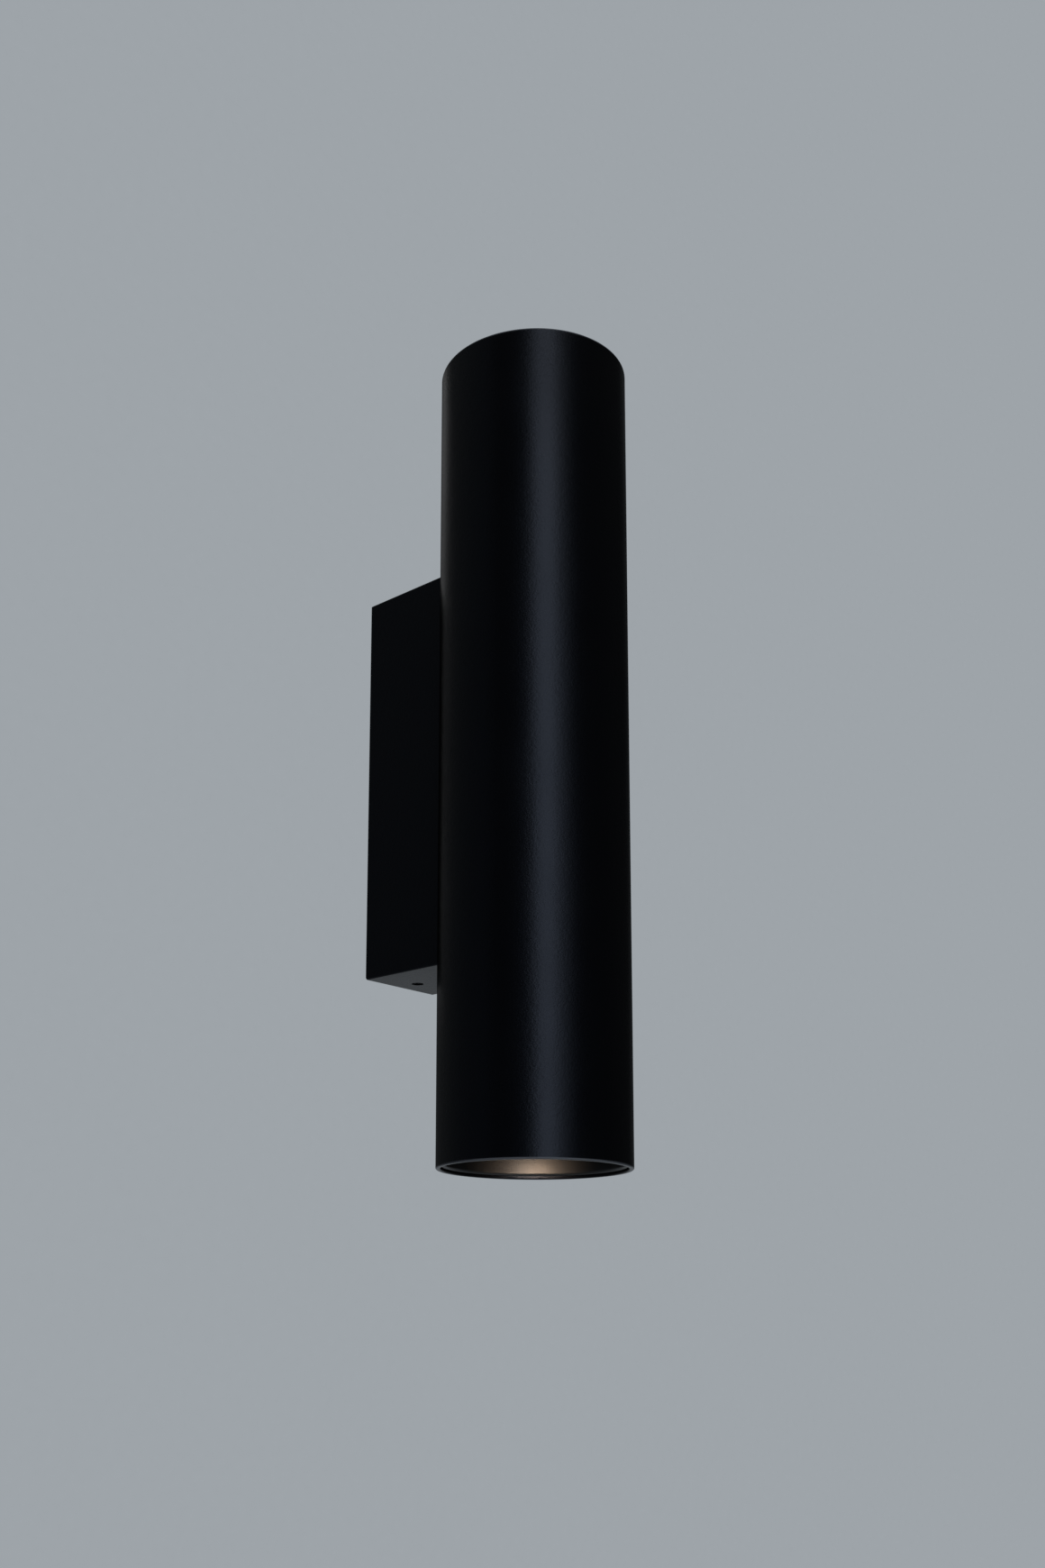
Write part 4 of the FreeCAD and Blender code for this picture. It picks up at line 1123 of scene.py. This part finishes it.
class WALLLIGHT_OT_leads(bpy.types.Operator):
    """Run the two pairs of leads in their flat sleeves, through the bush"""

    bl_idname = "wall_light.leads"
    bl_label = "Leads and bush"

    def execute(self, context):
        fittings = context.scene.wall_light.fittings
        nylon = moulded("bush_nylon", fittings.nylon, 0.45, 0.015 * MM)
        outline = outline_mm([
            (4.1, -5.1, 0.2), (5, -5.1, 0.2), (5, 0, 0),
            (6.5, 0, 0.2), (6.5, 1.5, 0.5), (4.1, 1.5, 0.4)])
        facing_wall = Matrix.Translation((0, LAND_Y, BUSH_Z)) @ Matrix.Rotation(-math.pi / 2, 4, "X")
        mesh = turned(outline, 56, nylon, facing_wall)
        place_piece("bush", mesh, "wire_bush")
        braid = braided_sleeve("glass_braid", fittings.glass_sleeve)
        cores = (
            (-1, "live", moulded("live_insulation", fittings.live, 0.36, 0.01 * MM)),
            (1, "neutral", moulded("neutral_insulation", fittings.neutral, 0.36, 0.01 * MM)),
        )
        for end, name, row_y in ((1, "upper", LAND_Y + 9.3 * MM), (-1, "lower", LAND_Y + 6.5 * MM)):
            bush_z = BUSH_Z + end * 1.3 * MM
            path = wire_mesh([
                (0, TUBE_Y, end * 32.5 * MM), (0, TUBE_Y, bush_z), (0, row_y, bush_z), (0, row_y, 10.5 * MM)])
            sleeve = grown(sleeve_tree(), path, {
                "Width": fittings.sleeve_width, "Thickness": fittings.sleeve_thickness, "Edge": 0.9 * MM,
                "Bend": 5.5 * MM, "Finish": braid,
            })
            place_piece(name + "_lead_sleeve", sleeve, name + "_leads")
            for side, core, finish in cores:
                x = side * 1.6 * MM
                runs = wire_mesh([
                    (side * 5 * MM, TUBE_Y, end * 36.6 * MM), (x, TUBE_Y, end * 30.5 * MM),
                    (x, row_y, 4.5 * MM), (x, row_y, 12.5 * MM)], [(0, 1), (2, 3)])
                wires = grown(wire_tree(), runs, {"Radius": fittings.lead_diameter / 2, "Finish": finish})
                place_piece(name + "_" + core + "_leads", wires, name + "_leads")
        return {"FINISHED"}


class WALLLIGHT_OT_lampholders(bpy.types.Operator):
    """Finish the brackets, lampholders and contacts, and cut their screws and nuts"""

    bl_idname = "wall_light.lampholders"
    bl_label = "Lampholders"

    def execute(self, context):
        settings = context.scene.wall_light
        fasteners, fittings = settings.fasteners, settings.fittings
        sheet = zinc_sheet("bracket_zinc_sheet", fasteners.zinc)
        stone = ceramic("steatite", fittings.ceramic)
        tin = plated_steel("tinned_contacts", fittings.tin, 0.28)
        for end in ("upper_", "lower_"):
            finish_node(end + "holder_bracket", sheet)
            finish_node(end + "lampholder", stone)
            finish_node(end + "holder_contacts", tin)
        zinc = plated_steel("small_screw_zinc", fasteners.zinc, 0.30)
        apart = 11.5 * MM
        ys = [TUBE_Y - apart, TUBE_Y + apart]
        head = outline_mm([(0, 0, 0), (2.75, 0, 0.1), (2.75, 1.2, 0.5), (1.6, 2, 0.5), (0, 2, 0)])
        shank = (3 * MM, 19.4 * MM, fasteners.fine_pitch)
        screw = screw_mesh("cross", head, 40, shank, (2.9 * MM, 1.1 * MM), 2 * MM, zinc)
        seats = [((0, y, HOLDER_FACE - 2.4 * MM), (0, 0, 1)) for y in ys]
        place_pair("lampholder_screws", planted(screw, seats, zinc), "holder_screws")
        height, corner = 2.4 * MM, 5.5 / math.sqrt(3) * MM
        easing = outline_mesh([
            (0, 0, 0), (corner - 0.5 * MM, 0, 0), (corner + 0.02 * MM, 0.35 * MM, 0),
            (corner + 0.02 * MM, height - 0.35 * MM, 0), (corner - 0.5 * MM, height, 0), (0, height, 0)])
        nut = grown(nut_tree(), easing, {
            "Segments": 60, "Height": height, "Flats": 5.5 * MM, "Bore": 3.02 * MM, "Finish": zinc})
        seats = [((0, y, FLANGE_Z - height), (0, 0, 1)) for y in ys]
        place_pair("lampholder_nuts", planted(nut, seats, zinc), "holder_nuts")
        return {"FINISHED"}


class WALLLIGHT_OT_lamps(bpy.types.Operator):
    """Turn the lamps, with fluted bowls and pebbled lit lenses"""

    bl_idname = "wall_light.lamps"
    bl_label = "Lamps"

    def execute(self, context):
        settings = context.scene.wall_light
        lamp = settings.lamp
        shell = moulded("lamp_shell", lamp.shell, 0.40, 0.02 * MM)
        pins = plated_steel("nickel_plated_pins", settings.fittings.nickel, 0.24)
        for end in ("upper_", "lower_"):
            finish_node(end + "lamp_pins", pins)
        base = outline_mm([
            (0, 0, 0), (10, 0, 0.8), (10, 8, 0.6), (14.5, 8, 1), (14.5, 11.5, 0), (0, 11.5, 0)], LAMP_FOOT)
        base_mesh = turned(base, 72, shell, ON_TUBE_AXIS)
        place_pair("lamp_cap", base_mesh, "lamp_base")
        self.make_bowls(lamp, shell)
        self.make_lenses(lamp)
        return {"FINISHED"}

    def make_bowls(self, lamp, shell):
        neck, shoulder, rim = (14.5, 11.5), (21.5, 31.0), (25.0, 44.0)
        flank, steps = [], 10
        for (low_r, low_z), (high_r, high_z) in ((neck, shoulder), (shoulder, rim)):
            for step in range(steps):
                t = step / steps
                flank.append((low_r + (high_r - low_r) * t, low_z + (high_z - low_z) * t, 0))
        outline = outline_mm([(0, 11.5, 0)] + flank + [
            (25, 44, 0.4), (25, 50, 0.5), (22.82, 50, 0.2), (22.82, 47.4, 0), (0, 47.4, 0)], LAMP_FOOT)
        mesh = grown(bowl_tree(), outline, {
            "Segments": lamp.flutes * 10, "Flutes": lamp.flutes, "Flute Depth": lamp.flute_depth,
            "Flute Start": LAMP_FOOT + 12.5 * MM, "Flute End": LAMP_FOOT + 43 * MM, "Finish": shell,
        }, ON_TUBE_AXIS)
        place_pair("lamp_bowl", mesh, "lamp_body")

    def make_lenses(self, lamp):
        face, radius = LAMP_FACE - 0.6 * MM, 22.8 * MM
        flat, steps = radius - 1.2 * MM, 44
        rings = [(flat * step / steps, face, 0) for step in range(steps, -1, -1)]
        outline = outline_mesh(
            [(0, face - 2 * MM, 0), (radius, face - 2 * MM, 0.1 * MM), (radius, face, 0.6 * MM)] + rings)
        lit = lit_lens("lit_frosted_lens", (0.86, 0.83, 0.77, 1.0), lamp)
        mesh = grown(lens_tree(), outline, {
            "Segments": 160, "Face Height": face, "Face Radius": flat, "Pebble Pitch": lamp.pebble_pitch,
            "Pebble Depth": lamp.pebble_depth, "Finish": lit,
        }, ON_TUBE_AXIS)
        place_pair("lamp_front_lens", mesh, "lamp_lens")


class WALLLIGHT_OT_baffles(bpy.types.Operator):
    """Turn the two anti-glare baffles and slit their skirts"""

    bl_idname = "wall_light.baffles"
    bl_label = "Baffles"

    def execute(self, context):
        baffle = context.scene.wall_light.baffle
        black = satin_coat("baffle_satin_black", baffle, 0.005 * MM).material
        outer, inner = baffle.skirt_radius, baffle.skirt_radius - baffle.skirt_wall
        slope = (baffle.mouth - baffle.throat) / baffle.cone_height
        skirt_foot = BAFFLE_TOP - baffle.skirt_height
        back = baffle.throat + baffle.cone_wall
        meeting = BAFFLE_FOOT + (inner - back) / slope
        outline = outline_mesh([
            (baffle.mouth, BAFFLE_TOP, 0.9 * MM), (baffle.mouth, BAFFLE_FOOT + baffle.cone_height, 2 * MM),
            (baffle.throat, BAFFLE_FOOT, 0.3 * MM),
            (back, BAFFLE_FOOT, 0.3 * MM), (inner, meeting, 0), (inner, skirt_foot, 0.2 * MM),
            (outer, skirt_foot, 0.2 * MM), (outer, BAFFLE_TOP, 0.25 * MM)])
        mesh = grown(baffle_tree(), outline, {
            "Segments": 168, "Tongues": baffle.tongues, "Tongue Angle": baffle.tongue_angle,
            "Slit Width": baffle.slit, "Slit Depth": 1.9 * MM, "Slit Height": baffle.slit_height * 2,
            "Slit Radius": inner + 0.9 * MM, "Slit Middle": skirt_foot, "Finish": black,
        }, ON_TUBE_AXIS)
        place_pair("glare_baffle", mesh, "baffle")
        return {"FINISHED"}


OPERATORS = (
    WALLLIGHT_OT_stage,
    WALLLIGHT_OT_tube,
    WALLLIGHT_OT_wall_plate,
    WALLLIGHT_OT_retaining_screws,
    WALLLIGHT_OT_fixing_screws,
    WALLLIGHT_OT_terminals,
    WALLLIGHT_OT_earth,
    WALLLIGHT_OT_leads,
    WALLLIGHT_OT_lampholders,
    WALLLIGHT_OT_lamps,
    WALLLIGHT_OT_baffles,
)


class WALLLIGHT_PT_panel(bpy.types.Panel):
    """Settings and pieces of the wall light"""

    bl_idname = "WALLLIGHT_PT_panel"
    bl_label = "Wall light"
    bl_space_type = "VIEW_3D"
    bl_region_type = "UI"
    bl_category = "Wall light"

    def draw(self, context):
        settings = context.scene.wall_light
        for group in ("tube", "baffle", "lamp", "fasteners", "fittings", "studio"):
            box = self.layout.box()
            box.label(text=group.capitalize())
            for name in getattr(settings, group).__annotations__:
                box.prop(getattr(settings, group), name)
        for operator in OPERATORS:
            self.layout.operator(operator.bl_idname)


SETTINGS = (
    TubeSettings, BaffleSettings, LampSettings, FastenerSettings, FittingSettings, StudioSettings,
    WallLightSettings)
CLASSES = (*SETTINGS, *OPERATORS, WALLLIGHT_PT_panel)


def register():
    for one in CLASSES:
        bpy.utils.register_class(one)
    bpy.types.Scene.wall_light = PointerProperty(type=WallLightSettings)


def unregister():
    del bpy.types.Scene.wall_light
    for one in reversed(CLASSES):
        bpy.utils.unregister_class(one)


def main():
    """Makes the stage and every piece."""
    register()
    for operator in OPERATORS:
        getattr(bpy.ops.wall_light, operator.bl_idname.split(".")[1])()


if __name__ == "__main__":
    main()
